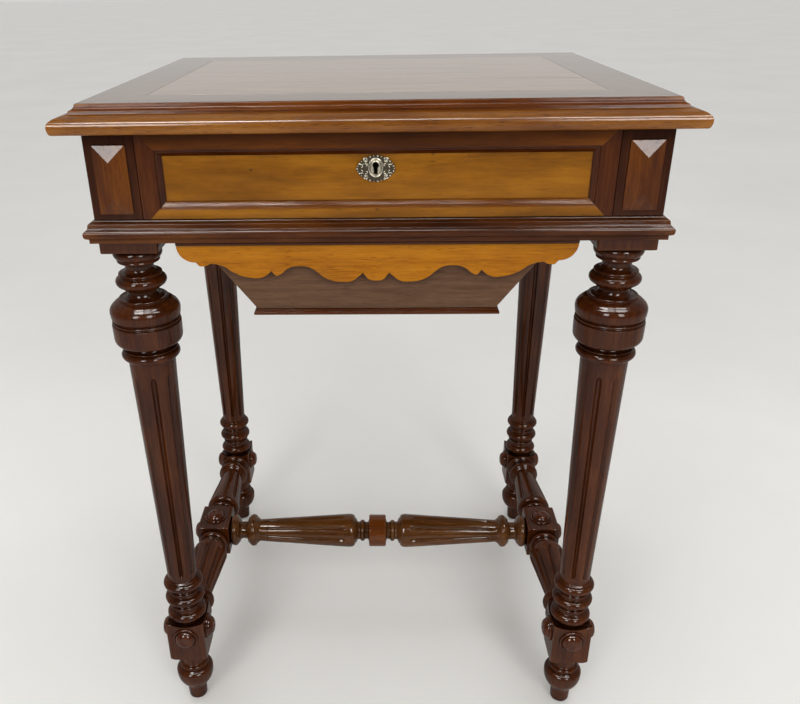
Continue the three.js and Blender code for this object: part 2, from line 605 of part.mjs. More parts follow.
function buildWorkbox() {
  add('workbox_apron', plate(apronOutline(), BOX_FRONT, BOX_FRONT + APRON_THICKNESS), goldWood);
  const capFront = BOX_FRONT - 2;
  const cap = box(-APRON_HALF, APRON_HALF, capFront, BOX_PLANE + BOX_BOARD, BOX_TOP + GAP, BOX_TOP + 3.3);
  add('workbox_cap', cap, darkWood);

  const endOutline = [[-BOX_HALF_BOTTOM, BOX_BOTTOM], [BOX_HALF_BOTTOM, BOX_BOTTOM],
    [sideAt(BOX_TOP), BOX_TOP], [-sideAt(BOX_TOP), BOX_TOP]];
  add('workbox_front_board', plate(endOutline, BOX_PLANE, BOX_PLANE + BOX_BOARD), redWood);
  add('workbox_back_board', plate(endOutline, BOX_BACK - BOX_BOARD, BOX_BACK), redWood);

  const sideY = [BOX_PLANE + BOX_BOARD + GAP, BOX_BACK - BOX_BOARD - GAP];
  const sideTop = RUNNER.bottom - GAP;
  for (const [name, side] of [['left', -1], ['right', 1]]) {
    const slope = [[sideAt(BOX_BOTTOM), BOX_BOTTOM], [sideAt(sideTop), sideTop],
      [sideAt(sideTop) - BOX_SIDE_BOARD, sideTop], [sideAt(BOX_BOTTOM) - BOX_SIDE_BOARD, BOX_BOTTOM]];
    const outline = slope.map(([x, z]) => [side * x, z]);
    if (side < 0) outline.reverse();
    add(`workbox_side_${name}`, plate(outline, ...sideY), redWood);
    const rail = [side * RUNNER.inner, side * RUNNER.outer].sort((a, b) => a - b);
    add(`workbox_runner_${name}`, box(...rail, ...sideY, RUNNER.bottom, RUNNER.top), innerWood);
    const hook = [[GUIDE.lip, GUIDE.bottom], [GUIDE.outer, GUIDE.bottom],
      [GUIDE.outer, BASE_BOTTOM - GAP], [GUIDE.web, BASE_BOTTOM - GAP],
      [GUIDE.web, RUNNER.bottom - 0.6], [GUIDE.lip, RUNNER.bottom - 0.6]];
    const guide = hook.map(([x, z]) => [side * x, z]);
    if (side < 0) guide.reverse();
    add(`runner_guide_${name}`, plate(guide, -GUIDE.half, GUIDE.half), innerWood);
  }

  const reach = BOX_HALF_BOTTOM + BOX_FLOOR_EDGE;
  const nose = [[reach - 1.6, BOX_FLOOR_BOTTOM], [reach, BOX_FLOOR_BOTTOM + 1.5],
    [reach, BOX_FLOOR_BOTTOM + 3.6], [reach - 2.2, BOX_BOTTOM - GAP]];
  const floorOutline = [...nose, ...nose.map(([x, z]) => [-x, z]).reverse()];
  const floorY = [BOX_PLANE - BOX_FLOOR_EDGE, BOX_BACK + BOX_FLOOR_EDGE];
  add('workbox_bottom_board', plate(floorOutline, ...floorY), redWood);
}

buildLid();
buildFrieze();
buildWell();
buildHinges();
buildLock();
buildLegs();
buildStretchers();
buildWorkbox();

export default table;
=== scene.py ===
"""The looks of a work table: fine turned, moulded and mitred pieces in polished wood, with brass
hinges, a lock and a pierced escutcheon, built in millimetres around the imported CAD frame."""
import math

import bmesh
import bpy
from mathutils import Matrix, Vector, noise


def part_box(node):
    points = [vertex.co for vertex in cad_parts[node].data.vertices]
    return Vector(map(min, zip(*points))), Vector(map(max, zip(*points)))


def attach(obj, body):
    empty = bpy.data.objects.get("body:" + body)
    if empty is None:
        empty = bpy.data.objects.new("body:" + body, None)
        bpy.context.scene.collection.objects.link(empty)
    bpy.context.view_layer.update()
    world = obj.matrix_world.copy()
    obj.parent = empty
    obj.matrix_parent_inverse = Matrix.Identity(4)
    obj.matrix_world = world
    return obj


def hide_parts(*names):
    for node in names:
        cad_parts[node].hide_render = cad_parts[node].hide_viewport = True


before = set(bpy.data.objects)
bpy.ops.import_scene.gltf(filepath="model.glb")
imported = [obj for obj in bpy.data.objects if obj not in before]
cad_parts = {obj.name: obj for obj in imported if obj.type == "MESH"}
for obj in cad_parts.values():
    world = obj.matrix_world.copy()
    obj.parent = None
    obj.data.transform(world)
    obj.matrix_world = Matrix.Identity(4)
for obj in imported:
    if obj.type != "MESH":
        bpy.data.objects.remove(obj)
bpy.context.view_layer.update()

MM = 0.001
noise.seed_set(7)  # unseeded, the noise would start from the clock


def span(node):
    """The lowest and highest corner of a CAD node, in millimetres."""
    low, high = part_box(node)
    return low / MM, high / MM


# ---- Driving dimensions, in millimetres ----
HAIR = 0.3  # clearance between neighbouring pieces
CASE_X = span("lid_border_front")[1].x + HAIR / 2
CASE_Y = -span("lid_border_front")[0].y
CASE_TOP = span("lid_border_front")[0].z - HAIR
CASE_BOTTOM = span("base_moulding_front")[1].z
LID_TOP = span("lid_field_panel")[1].z
LID_BOTTOM = CASE_TOP + HAIR
FIELD_X = span("lid_field_panel")[1].x
FIELD_Y = span("lid_field_panel")[1].y
LEG_X = 237.0
LEG_Y = 195.5
STRETCHER_Z = 116.0
LEG_BLOCK = 23.0  # half the width of the square block on a leg
STRETCHER_CORE = 15.5
STRETCHER_BLOCK = 27.0  # half the length of the square block in a side stretcher
CROSS_DRUM = 12.5  # half the length of the drum in the middle of the cross stretcher
FRAME_DEPTH = 14.0
DIAMOND_Z = 681.8
KEYHOLE_Z = 691.6
POST = 46.5
STILE = 15.7
PANEL_LOW = CASE_BOTTOM + 9.3
PANEL_HIGH = CASE_TOP - 16.4
PANEL_FACE = 8.0
MOULDING = 6.5


def add_object(name, data):
    made = bpy.data.objects.new(name, data)
    bpy.context.scene.collection.objects.link(made)
    return made


# ---- Camera: the lens and the place from which the table is seen ----
CAMERA_PLACE = (0.00247, -0.96171, 0.84749)
CAMERA_PITCH = math.radians(26.277)
CAMERA_YAW = math.radians(-1.904)
CAMERA_ROLL = math.radians(-0.970)


def make_camera():
    data = bpy.data.cameras.new("camera")
    data.lens = 36.27
    data.shift_x = 0.0565
    data.shift_y = 0.0276
    camera = add_object("camera", data)
    pitch, yaw, roll = CAMERA_PITCH, CAMERA_YAW, CAMERA_ROLL
    ahead = Vector((math.sin(yaw) * math.cos(pitch), math.cos(yaw) * math.cos(pitch), -math.sin(pitch)))
    level = Vector((math.cos(yaw), -math.sin(yaw), 0.0))
    above = level.cross(ahead)
    right = level * math.cos(roll) + above * math.sin(roll)
    up = above * math.cos(roll) - level * math.sin(roll)
    turn = Matrix((right, up, -ahead)).transposed()
    camera.matrix_world = Matrix.Translation(CAMERA_PLACE) @ turn.to_4x4()
    bpy.context.scene.camera = camera


# ---- Stage: a pale floor, two windows, soft fills, cards overhead and a soft world ----
# Each row is a name, a size, a place, a target, watts, and whether it shows only in the polish.
CENTRE = (0.0, -0.1, 0.6)
LIGHTS = (
    ("window_left", (0.72, 1.3), (-1.12, -2.5, 1.85), CENTRE, 60, True),
    ("window_right", (0.72, 1.3), (1.12, -2.5, 1.85), CENTRE, 60, True),
    ("soft_left", (0.8, 0.8), (-1.3, -2.5, 1.7), CENTRE, 15, False),
    ("soft_right", (0.8, 0.8), (1.3, -2.5, 1.7), CENTRE, 15, False),
    ("soft_front", (2.8, 1.2), (0.0, -2.4, 2.6), CENTRE, 30, False),
    ("card_left", (0.7, 0.6), (-0.62, -0.7, 2.6), (-0.62, -0.3, 0.7), 52, True),
    ("card_middle", (0.5, 0.6), (0.1, -0.7, 2.6), (0.1, -0.3, 0.7), 18, True),
    ("card_right", (0.9, 0.6), (0.95, -0.7, 2.6), (0.95, -0.3, 0.7), 40, True),
)
WARM_WHITE = (1.0, 0.985, 0.96)
FLOOR_HALF = 40.0
def make_light(name, size, place, target, watts, in_polish):
    data = bpy.data.lights.new(name, "AREA")
    data.shape = "RECTANGLE"
    data.size, data.size_y = size
    data.energy = watts
    data.color = WARM_WHITE
    light = add_object(name, data)
    light.location = place
    light.rotation_euler = (Vector(target) - Vector(place)).to_track_quat("-Z", "Y").to_euler()
    light.visible_diffuse = not in_polish
    light.visible_glossy = in_polish


def make_floor():
    mesh = bpy.data.meshes.new("floor")
    corners = [(x * FLOOR_HALF, y * FLOOR_HALF, 0) for x, y in ((-1, -1), (1, -1), (1, 1), (-1, 1))]
    mesh.from_pydata(corners, [], [(0, 1, 2, 3)])
    floor = add_object("floor", mesh)
    floor.data.materials.append(floor_paint())


def make_overhead():
    """A wide soft light from above, which does not show in the polish."""
    data = bpy.data.lights.new("overhead", "SUN")
    data.energy = 1.1
    data.angle = math.radians(75)
    overhead = add_object("overhead", data)
    overhead.visible_glossy = False


def make_world():
    """A soft room that is dim behind the camera and bright behind the table."""
    world = bpy.data.worlds.new("room")
    bpy.context.scene.world = world
    world.use_nodes = True
    tree = world.node_tree
    direction = node(tree, "ShaderNodeTexCoord").outputs["Generated"]
    along = node(tree, "ShaderNodeSeparateXYZ", {"Vector": direction}).outputs["Y"]
    strength = remap(tree, along, -0.5, 0.7, 0.10, 0.66)
    tree.nodes["Background"].inputs["Color"].default_value = (1.0, 0.985, 0.955, 1.0)
    tree.links.new(strength, tree.nodes["Background"].inputs["Strength"])


def make_stage():
    bpy.context.scene.view_settings.view_transform = "Standard"
    make_floor()
    for row in LIGHTS:
        make_light(*row)
    make_overhead()
    make_world()


# ---- Shader helpers ----
def node(tree, kind, inputs=None, **settings):
    """Adds a shader node; inputs are numbers, colours or the sockets that feed them."""
    made = tree.nodes.new(kind)
    for key, value in settings.items():
        setattr(made, key, value)
    for key, value in (inputs or {}).items():
        if isinstance(value, bpy.types.NodeSocket):
            tree.links.new(value, made.inputs[key])
        else:
            made.inputs[key].default_value = value
    return made


def calc(tree, operation, *values):
    return node(tree, "ShaderNodeMath", dict(enumerate(values)), operation=operation).outputs[0]


def times(tree, value, share):
    return calc(tree, "MULTIPLY", value, share)


def plus(tree, first, second):
    return calc(tree, "ADD", first, second)


def remap(tree, value, low, high, to_low=0.0, to_high=1.0):
    inputs = {"Value": value, "From Min": low, "From Max": high, "To Min": to_low, "To Max": to_high}
    return node(tree, "ShaderNodeMapRange", inputs, clamp=True).outputs["Result"]


def blend_colour(tree, factor, first, second, mode="MIX"):
    inputs = {0: factor, 6: first, 7: second}
    return node(tree, "ShaderNodeMix", inputs, data_type="RGBA", blend_type=mode).outputs[2]


def ramp(tree, value, stops):
    made = node(tree, "ShaderNodeValToRGB", {"Fac": value})
    elements = made.color_ramp.elements
    while len(elements) < len(stops):
        elements.new(0.5)
    for element, (place, colour) in zip(elements, stops):
        element.position = place
        element.color = (*colour, 1.0)
    return made.outputs["Color"]


def speckle(tree, vector, detail=2.0, roughness=0.5, scale=1.0, distortion=0.0):
    inputs = {"Vector": vector, "Scale": scale, "Detail": detail, "Roughness": roughness,
              "Distortion": distortion}
    return node(tree, "ShaderNodeTexNoise", inputs).outputs["Fac"]


def stretched(tree, vector, along, across):
    return node(tree, "ShaderNodeMapping", {"Vector": vector, "Scale": (along, across, across)}).outputs[0]


def shader_of(name):
    material = bpy.data.materials.new(name)
    material.use_nodes = True
    return material, material.node_tree, material.node_tree.nodes["Principled BSDF"]


def local_point(tree, spread):
    """The point on the piece, in metres, shifted by an amount of its own for every piece."""
    point = node(tree, "ShaderNodeTexCoord").outputs["Object"]
    own = node(tree, "ShaderNodeObjectInfo").outputs["Random"]
    shift = node(tree, "ShaderNodeVectorMath", {
        0: (1.7 * spread, 0.31 * spread, 0.53 * spread), "Scale": own}, operation="SCALE").outputs[0]
    return node(tree, "ShaderNodeVectorMath", {0: point, 1: shift}, operation="ADD").outputs[0]


# what each wood shows on its knots, and the dirt and painted shade that darken its hollows, gaps and the
# wood under other parts
GRIME_AND_SHADE = (0.006, 0.0025, 0.0015, 1.0)
FLECK = (0.03, 0.012, 0.005, 1.0)
GRAIN_TURN = {"X": (0.0, 0.0, 0.0), "Y": (0.0, 0.0, -math.pi / 2), "Z": (0.0, math.pi / 2, 0.0)}


def wood(name, slot, grain, tones, figure=0.35, pores=0.5, flecks=0.0, coat=0.5, roughness=0.48, wear=0.25,
         dirt_and_shade=0.75, ripple=0.25, height_darkening=None, polish=0.06):
    """Polished wood with its grain along one axis. Tones are its dark, middle and light colours.
    Dirt_and_shade sets how strongly dirt and painted shade darken its hollows and gaps.
    A height_darkening is (height in mm, height in mm, share, colour): it grows from the first height to the
    second; under the lid it is painted shade."""
    material, tree, shader = shader_of(name)
    point = local_point(tree, 1.0)
    turned_point = node(tree, "ShaderNodeMapping", {
        "Vector": point, "Rotation": GRAIN_TURN[grain]}).outputs[0]
    drift = speckle(tree, stretched(tree, turned_point, 5.0, 16.0), 2.0)
    push = node(tree, "ShaderNodeCombineXYZ", {"Y": times(tree, drift, 0.02)}).outputs[0]
    grained = node(tree, "ShaderNodeVectorMath", {0: turned_point, 1: push}, operation="ADD").outputs[0]

    fibre = speckle(tree, stretched(tree, grained, 38.0, 950.0), 3.0, 0.6)
    pore = remap(tree, speckle(tree, stretched(tree, grained, 75.0, 1500.0), 2.0, 0.5), 0.6, 0.72)
    colour = grain_colour(tree, grained, fibre, tones, figure)
    colour = blend_colour(tree, times(tree, pore, pores), colour, (*tones[0], 1.0), "MULTIPLY")
    if flecks:
        colour = flecked(tree, grained, colour, flecks)
    if height_darkening:
        colour = darkened_by_height(tree, shader, colour, coat, *height_darkening)
    # dirt and painted shade: ambient occlusion darkens hollows, gaps between pieces and wood under overhangs
    hollow = node(tree, "ShaderNodeAmbientOcclusion", {"Distance": 0.013}, samples=6).outputs["AO"]
    grime_and_shade = remap(tree, hollow, 0.3, 0.9, dirt_and_shade, 0.0)
    colour = blend_colour(tree, grime_and_shade, colour, GRIME_AND_SHADE)
    edge = remap(tree, node(tree, "ShaderNodeNewGeometry").outputs["Pointiness"], 0.52, 0.6, 0.0, wear)
    worn = (*(min(1.0, c * 1.9 + 0.01) for c in tones[2]), 1.0)
    tree.links.new(blend_colour(tree, edge, colour, worn), shader.inputs["Base Color"])

    rub = speckle(tree, point, 4.0, 0.6, 26.0)
    gloss = remap(tree, rub, 0.3, 0.7, roughness - 0.07, roughness + 0.09)
    tree.links.new(plus(tree, gloss, times(tree, grime_and_shade, 0.25)), shader.inputs["Roughness"])
    varnish = {"Coat Weight": coat, "Coat Roughness": polish, "Coat IOR": 1.5, "Specular IOR Level": 0.0}
    for key, value in varnish.items():
        shader.inputs[key].default_value = value

    relief = calc(tree, "SUBTRACT", times(tree, fibre, 0.5), times(tree, pore, 0.9))
    fine = node(tree, "ShaderNodeBump", {"Strength": 0.35, "Distance": 0.0003, "Height": relief})
    tree.links.new(fine.outputs[0], shader.inputs["Normal"])
    swell = speckle(tree, stretched(tree, turned_point, 14.0, 48.0), 2.0)
    height = plus(tree, swell, times(tree, relief, 0.05))
    soft = node(tree, "ShaderNodeBump", {"Strength": ripple, "Distance": 0.002, "Height": height})
    tree.links.new(soft.outputs[0], shader.inputs["Coat Normal"])
    return material


def grain_colour(tree, grained, fibre, tones, figure):
    """Streaks and fibres, mixed with broad clouds and patches by the share that figure gives."""
    cloud = speckle(tree, stretched(tree, grained, 4.0, 19.0), 3.0, 0.55)
    patch = speckle(tree, stretched(tree, grained, 14.0, 62.0), 3.0, 0.55)
    streak = speckle(tree, stretched(tree, grained, 7.0, 190.0), 5.0, 0.62)
    plain = plus(tree, times(tree, streak, 0.62), times(tree, fibre, 0.38))
    shaped = plus(tree, times(tree, cloud, 0.55), times(tree, patch, 0.45))
    tone = plus(tree, times(tree, plain, 1.0 - figure), times(tree, shaped, figure))
    return ramp(tree, remap(tree, tone, 0.38, 0.62), ((0.0, tones[0]), (0.5, tones[1]), (1.0, tones[2])))


def flecked(tree, grained, colour, share):
    """Small dark knots in a share of the cells of a lattice."""
    cells = node(tree, "ShaderNodeTexVoronoi", {
        "Vector": stretched(tree, grained, 60.0, 85.0), "Scale": 1.0}, feature="F1")
    own = node(tree, "ShaderNodeSeparateColor", {"Color": cells.outputs["Color"]}).outputs[0]
    rare = calc(tree, "GREATER_THAN", own, 1.0 - share)
    dot = remap(tree, cells.outputs["Distance"], 0.05, 0.13, 1.0, 0.0)
    return blend_colour(tree, times(tree, dot, rare), colour, FLECK)


def darkened_by_height(tree, shader, colour, coat, start, stop, share, toned):
    """Darkens the wood towards one height, where the varnish shines less too. Under the lid this is painted
    shade.
    """
    place = node(tree, "ShaderNodeTexCoord").outputs["Object"]
    height = node(tree, "ShaderNodeSeparateXYZ", {"Vector": place}).outputs["Z"]
    amount = remap(tree, height, start * MM, stop * MM, 0.0, share)
    tree.links.new(remap(tree, amount, 0.0, 1.0, coat, coat * 0.15), shader.inputs["Coat Weight"])
    return blend_colour(tree, amount, colour, (*toned, 1.0), "MULTIPLY")


def metal(name, slot, bright, dull, roughness, scale):
    """Aged metal: bright on its rubbed edges, dull and darker where it is sheltered."""
    material, tree, shader = shader_of(name)
    point = local_point(tree, 0.2)
    cloud = speckle(tree, point, 5.0, 0.65, scale)
    hollow = node(tree, "ShaderNodeAmbientOcclusion", {"Distance": 0.003}, samples=6).outputs["AO"]
    sheltered = remap(tree, hollow, 0.2, 0.9, 1.0, 0.0)
    stain = calc(tree, "MAXIMUM", sheltered, remap(tree, cloud, 0.5, 0.75, 0.0, 0.7))
    colour = blend_colour(tree, stain, (*bright, 1.0), (*dull, 1.0))
    tree.links.new(colour, shader.inputs["Base Color"])
    shader.inputs["Metallic"].default_value = 1.0
    tree.links.new(remap(tree, stain, 0.0, 1.0, roughness, roughness + 0.3), shader.inputs["Roughness"])
    bump = node(tree, "ShaderNodeBump", {"Strength": 0.25, "Distance": 0.0002, "Height": cloud})
    tree.links.new(bump.outputs[0], shader.inputs["Normal"])
    return material


def floor_paint():
    material, tree, shader = shader_of("floor_paint")
    point = node(tree, "ShaderNodeTexCoord").outputs["Object"]
    patch = speckle(tree, point, 4.0, 0.6, 1.4)
    tree.links.new(ramp(tree, patch, ((0.3, (0.83, 0.828, 0.81)), (0.7, (0.88, 0.878, 0.86)))),
                   shader.inputs["Base Color"])
    shader.inputs["Roughness"].default_value = 0.6
    return material


# ---- Finishes: one set of tones for each wood, one material for each way its grain runs ----
MAHOGANY = ((0.022, 0.0044, 0.0010), (0.052, 0.0122, 0.0024), (0.098, 0.026, 0.0052))
POST_TONES = ((0.014, 0.0030, 0.0008), (0.030, 0.0068, 0.0014), (0.055, 0.014, 0.003))
RED = ((0.020, 0.0036, 0.0007), (0.046, 0.0095, 0.0013), (0.085, 0.021, 0.003))
# the top rail's golden wood, darkened as painted shade from the lid's overhang
RUSSET_SHADED = ((0.030, 0.0062, 0.0008), (0.085, 0.021, 0.0020), (0.17, 0.052, 0.005))
BASE = ((0.030, 0.0066, 0.0011), (0.072, 0.0185, 0.0026), (0.13, 0.040, 0.006))
# the panel moulding's bottom slope: its wood made lighter than the other three sides, as painted light where
# it faces up
SILL = ((0.090, 0.022, 0.0016), (0.165, 0.048, 0.0032), (0.25, 0.086, 0.006))
EDGE = ((0.115, 0.031, 0.0022), (0.19, 0.062, 0.0045), (0.27, 0.10, 0.009))
GOLD = ((0.085, 0.025, 0.0012), (0.20, 0.070, 0.0026), (0.34, 0.135, 0.006))
AMBER = ((0.22, 0.066, 0.0012), (0.38, 0.132, 0.0020), (0.51, 0.195, 0.004))
DIAMOND = ((0.028, 0.0055, 0.0003), (0.076, 0.0165, 0.0006), (0.145, 0.040, 0.0014))
FIELD = ((0.20, 0.122, 0.070), (0.25, 0.160, 0.098), (0.30, 0.20, 0.128))
BORDER = ((0.065, 0.028, 0.012), (0.105, 0.048, 0.021), (0.145, 0.070, 0.032))
# greyish work-box wood: dusty, with a painted sheen of the floor's reflection in its colour
UMBER_AND_SHEEN = ((0.050, 0.022, 0.011), (0.090, 0.044, 0.023), (0.135, 0.070, 0.038))
DRUM = ((0.055, 0.012, 0.002), (0.12, 0.031, 0.0045), (0.20, 0.058, 0.010))
BOSS_TONES = ((0.032, 0.006, 0.0015), (0.068, 0.0155, 0.0035), (0.12, 0.032, 0.0075))
CROSS = ((0.034, 0.010, 0.002), (0.088, 0.030, 0.006), (0.16, 0.062, 0.017))
DEAL = ((0.20, 0.105, 0.045), (0.32, 0.19, 0.088), (0.42, 0.27, 0.14))


# painted shade under the lid's overhang, on the top rail
UNDER_LID = (705.0, 725.0, 0.75, (0.35, 0.25, 0.18))
HOLLOW_EDGE = (740.6, 742.2, 0.85, (0.55, 0.36, 0.30))
# painted shade at the tops of the posts, under the lid's overhang
POST_TOP = (700.0, 726.0, 0.7, (0.3, 0.25, 0.2))
# finish: (material name, slot, ways the grain runs, tones, settings)
WOODS = {
    "dark": ("mahogany", "dark_wood", "XYZ", MAHOGANY, {"figure": 0.55, "coat": 0.4, "polish": 0.11}),
    "red": ("red_walnut", "red_wood", "XZ", RED, {"figure": 0.4, "coat": 0.3}),
    "gold": ("golden_wood", "gold_wood", "XY", GOLD, {"figure": 0.75, "flecks": 0.12, "coat": 0.3}),
    "deal": ("plain_wood", "inner_wood", "XY", DEAL, {
        "figure": 0.4, "coat": 0.0, "roughness": 0.62, "ripple": 0.1}),
    "slope": ("panel_slope", "dark_wood", "XYZ", RED, {"figure": 0.4, "coat": 0.4}),
    "base": ("base_wood", "dark_wood", "XY", BASE, {"figure": 0.6, "coat": 0.3, "polish": 0.16}),
    "sill": ("sill_wood", "dark_wood", "XY", SILL, {
        "figure": 0.6, "flecks": 0.05, "coat": 0.45, "polish": 0.14}),
    "edge": ("moulded_edge", "red_wood", "XY", EDGE, {
        "figure": 0.6, "pores": 0.8, "flecks": 0.12, "coat": 0.6, "ripple": 0.3, "polish": 0.15,
        "height_darkening": HOLLOW_EDGE}),
    "border": ("lid_border", "red_wood", "XY", BORDER, {
        "figure": 0.5, "wear": 0.1, "dirt_and_shade": 0.3, "roughness": 0.3, "ripple": 0.1, "coat": 1.0}),
    "umber": ("box_wood", "red_wood", "XY", UMBER_AND_SHEEN, {"figure": 0.3, "coat": 0.25, "roughness": 0.42}),
    "shaded_russet": ("top_rail_wood", "red_wood", "XY", RUSSET_SHADED, {
        "figure": 0.7, "flecks": 0.05, "coat": 0.35, "height_darkening": UNDER_LID}),
    "field": ("lid_field", "field_wood", "X", FIELD, {
        "figure": 0.6, "pores": 0.3, "wear": 0.0, "dirt_and_shade": 0.3, "roughness": 0.3, "ripple": 0.1,
        "coat": 1.0}),
    "amber": ("apron_wood", "gold_wood", "X", AMBER, {
        "figure": 0.45, "pores": 0.7, "flecks": 0.10, "coat": 0.3, "roughness": 0.42}),
    "diamond": ("diamond_wood", "gold_wood", "Z", DIAMOND, {"figure": 0.6, "flecks": 0.05, "coat": 0.42}),
    "post": ("post_wood", "dark_wood", "Z", POST_TONES, {"figure": 0.4, "coat": 0.25, "height_darkening": POST_TOP}),
    "cross": ("cross_wood", "dark_wood", "X", CROSS, {"figure": 0.5}),
    "drum": ("drum_wood", "dark_wood", "X", DRUM, {"figure": 0.4}),
    "boss": ("boss_wood", "dark_wood", "Z", BOSS_TONES, {"figure": 0.4}),
}
# finish: (material name, slot, bright colour, dull colour, roughness, scale of the stains)
METALS = {
    "brass": ("aged_brass", "brass", (0.62, 0.43, 0.16), (0.14, 0.085, 0.03), 0.3, 420.0),
    "steel": ("dull_steel", "steel", (0.42, 0.42, 0.43), (0.09, 0.08, 0.075), 0.36, 420.0),
    "patina": ("dark_patina", "pewter", (0.06, 0.05, 0.034), (0.008, 0.007, 0.005), 0.45, 900.0),
    "pewter": ("old_silver", "pewter", (0.40, 0.37, 0.29), (0.020, 0.017, 0.012), 0.3, 900.0),
}


def make_finishes():
    made = {}
    for finish, (name, slot, ways, tones, settings) in WOODS.items():
        for way in ways:
            made[finish + way] = wood(f"{name}_{way}", slot, way, tones, **settings)
    for finish, settings in METALS.items():
        made[finish] = metal(*settings)
    return made


# ---- Mesh helpers ----
def wobble(point, amount, seed=0.0):
    """A small slow unevenness, as hand tools leave on wood."""
    where = point * 0.021 + Vector((seed, seed * 1.7, seed * 0.6))
    return point + noise.noise_vector(where) * amount


SHARP = math.radians(34)


def piece(name, shape, finish, body="frame", node_name=None, bevel=0.0, uneven=0.0, segments=2):
    """A named piece from a shape, which is its points in millimetres and its faces. It rides on a CAD
    body and may replace a CAD node."""
    points, faces = shape
    seed = (sum(ord(c) for c in name) % 97) * 1.37
    moved = [wobble(Vector(p), uneven, seed) if uneven else Vector(p) for p in points]
    mesh = bpy.data.meshes.new(name)
    mesh.from_pydata([p * MM for p in moved], [], faces)
    work = bmesh.new()
    work.from_mesh(mesh)
    bmesh.ops.remove_doubles(work, verts=work.verts, dist=1e-6)
    bmesh.ops.recalc_face_normals(work, faces=work.faces)
    for face in work.faces:
        face.smooth = True
    for edge in work.edges:
        edge.smooth = len(edge.link_faces) == 2 and edge.calc_face_angle(0.0) < SHARP
    work.to_mesh(mesh)
    work.free()
    made = add_object(name, mesh)
    dress(made, finish, bevel, segments)
    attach(made, body)
    if node_name:
        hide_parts(node_name)
    return made


def dress(made, finish, bevel=0.0, segments=2):
    """Gives an object its finish, eased edges and normals that keep flat faces flat."""
    made.data.materials.clear()
    made.data.materials.append(FINISH[finish])
    if bevel:
        if made.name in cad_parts:
            made.modifiers.new("closed", "WELD").merge_threshold = 1e-6
        eased = made.modifiers.new("eased", "BEVEL")
        eased.width = bevel * MM
        eased.segments = segments
        eased.limit_method = "ANGLE"
        eased.angle_limit = math.radians(28)
        eased.harden_normals = False
    flat = made.modifiers.new("flat_faces", "WEIGHTED_NORMAL")
    flat.keep_sharp = True
    flat.weight = 80


def loft(rings, joined=False):
    """The shape that runs through rings of points. It ends in caps, or is joined into a loop."""
    count = len(rings[0])
    faces = []
    for row in range(len(rings) if joined else len(rings) - 1):
        here, there = row * count, (row + 1) % len(rings) * count
        for i in range(count):
            on = (i + 1) % count
            faces.append((here + i, here + on, there + on, there + i))
    if not joined:
        last = (len(rings) - 1) * count
        faces += [tuple(range(count)), tuple(last + i for i in reversed(range(count)))]
    return [point for ring in rings for point in ring], faces


def angles_round(sides):
    return [2 * math.pi * i / sides for i in range(sides)]


def slab(outline, low, high, place=lambda u, v, w: (u, v, w)):
    """Points and faces of a flat outline given a thickness; place puts its (u, v, w) in the table."""
    count = len(outline)
    points = [place(u, v, w) for w in (low, high) for u, v in outline]
    faces = [tuple(range(count)), tuple(range(2 * count - 1, count - 1, -1))]
    faces += [(i, (i + 1) % count, count + (i + 1) % count, count + i) for i in range(count)]
    return points, faces


def block(low, high):
    """A board between two corners, cut into short lengths so that it can be slightly uneven."""
    size = [h - l for l, h in zip(low, high)]
    long_axis = size.index(max(size))
    a, b = [i for i in range(3) if i != long_axis]
    steps = max(1, int(size[long_axis] / 25))
    rings = []
    for i in range(steps + 1):
        ring = []
        for ua, ub in ((0, 0), (1, 0), (1, 1), (0, 1)):
            corner = [0.0, 0.0, 0.0]
            corner[long_axis] = low[long_axis] + size[long_axis] * i / steps
            corner[a] = low[a] + size[a] * ua
            corner[b] = low[b] + size[b] * ub
            ring.append(corner)
        rings.append(ring)
    return loft(rings)


def arc(start, end, bulge, steps=None):
    """Points after start up to end on an arc that swells by bulge to the right of the way."""
    (x0, y0), (x1, y1) = start, end
    chord = math.hypot(x1 - x0, y1 - y0)
    if abs(bulge) < 1e-6 or chord < 1e-6:
        return [end]
    radius = (chord * chord / 4 + bulge * bulge) / (2 * abs(bulge))
    half = 2 * math.atan2(2 * abs(bulge), chord)
    count = steps or max(3, min(18, int(2 * half * radius / 0.9)))
    out = Vector((y1 - y0, x0 - x1)) / chord * (1 if bulge > 0 else -1)
    centre = Vector(((x0 + x1) / 2, (y0 + y1) / 2)) - out * (radius - abs(bulge))
    along = Vector((x1 - x0, y1 - y0)) / chord
    made = []
    for i in range(1, count + 1):
        angle = -half + 2 * half * i / count
        made.append(tuple(centre + out * radius * math.cos(angle) + along * radius * math.sin(angle)))
    made[-1] = end
    return made


def curve_points(stops, ease=0.35, step=14.0):
    """A polyline from (a, b) or (a, b, bulge) stops, with its corners eased and long lines divided."""
    line = [tuple(stops[0][:2])]
    for stop in stops[1:]:
        bulge = stop[2] if len(stop) > 2 else 0.0
        line += arc(line[-1], tuple(stop[:2]), bulge)
    eased = [Vector(line[0])]
    for before, here, after in zip(line, line[1:], line[2:]):
        a, b, c = Vector(before), Vector(here), Vector(after)
        back, on = a - b, c - b
        if back.length < 1e-6 or on.length < 1e-6:
            continue
        if back.angle(-on, 0.0) < math.radians(24):
            eased.append(b)
            continue
        first = b + back.normalized() * min(ease, back.length * 0.42)
        last = b + on.normalized() * min(ease, on.length * 0.42)
        eased += [first, (first + last + b * 2) / 4, last]
    eased.append(Vector(line[-1]))
    final = [eased[0]]
    for a, b in zip(eased, eased[1:]):
        parts = max(1, int((b - a).length / step))
        final += [a.lerp(b, i / parts) for i in range(1, parts + 1)]
    return [(p.x, p.y) for p in final]


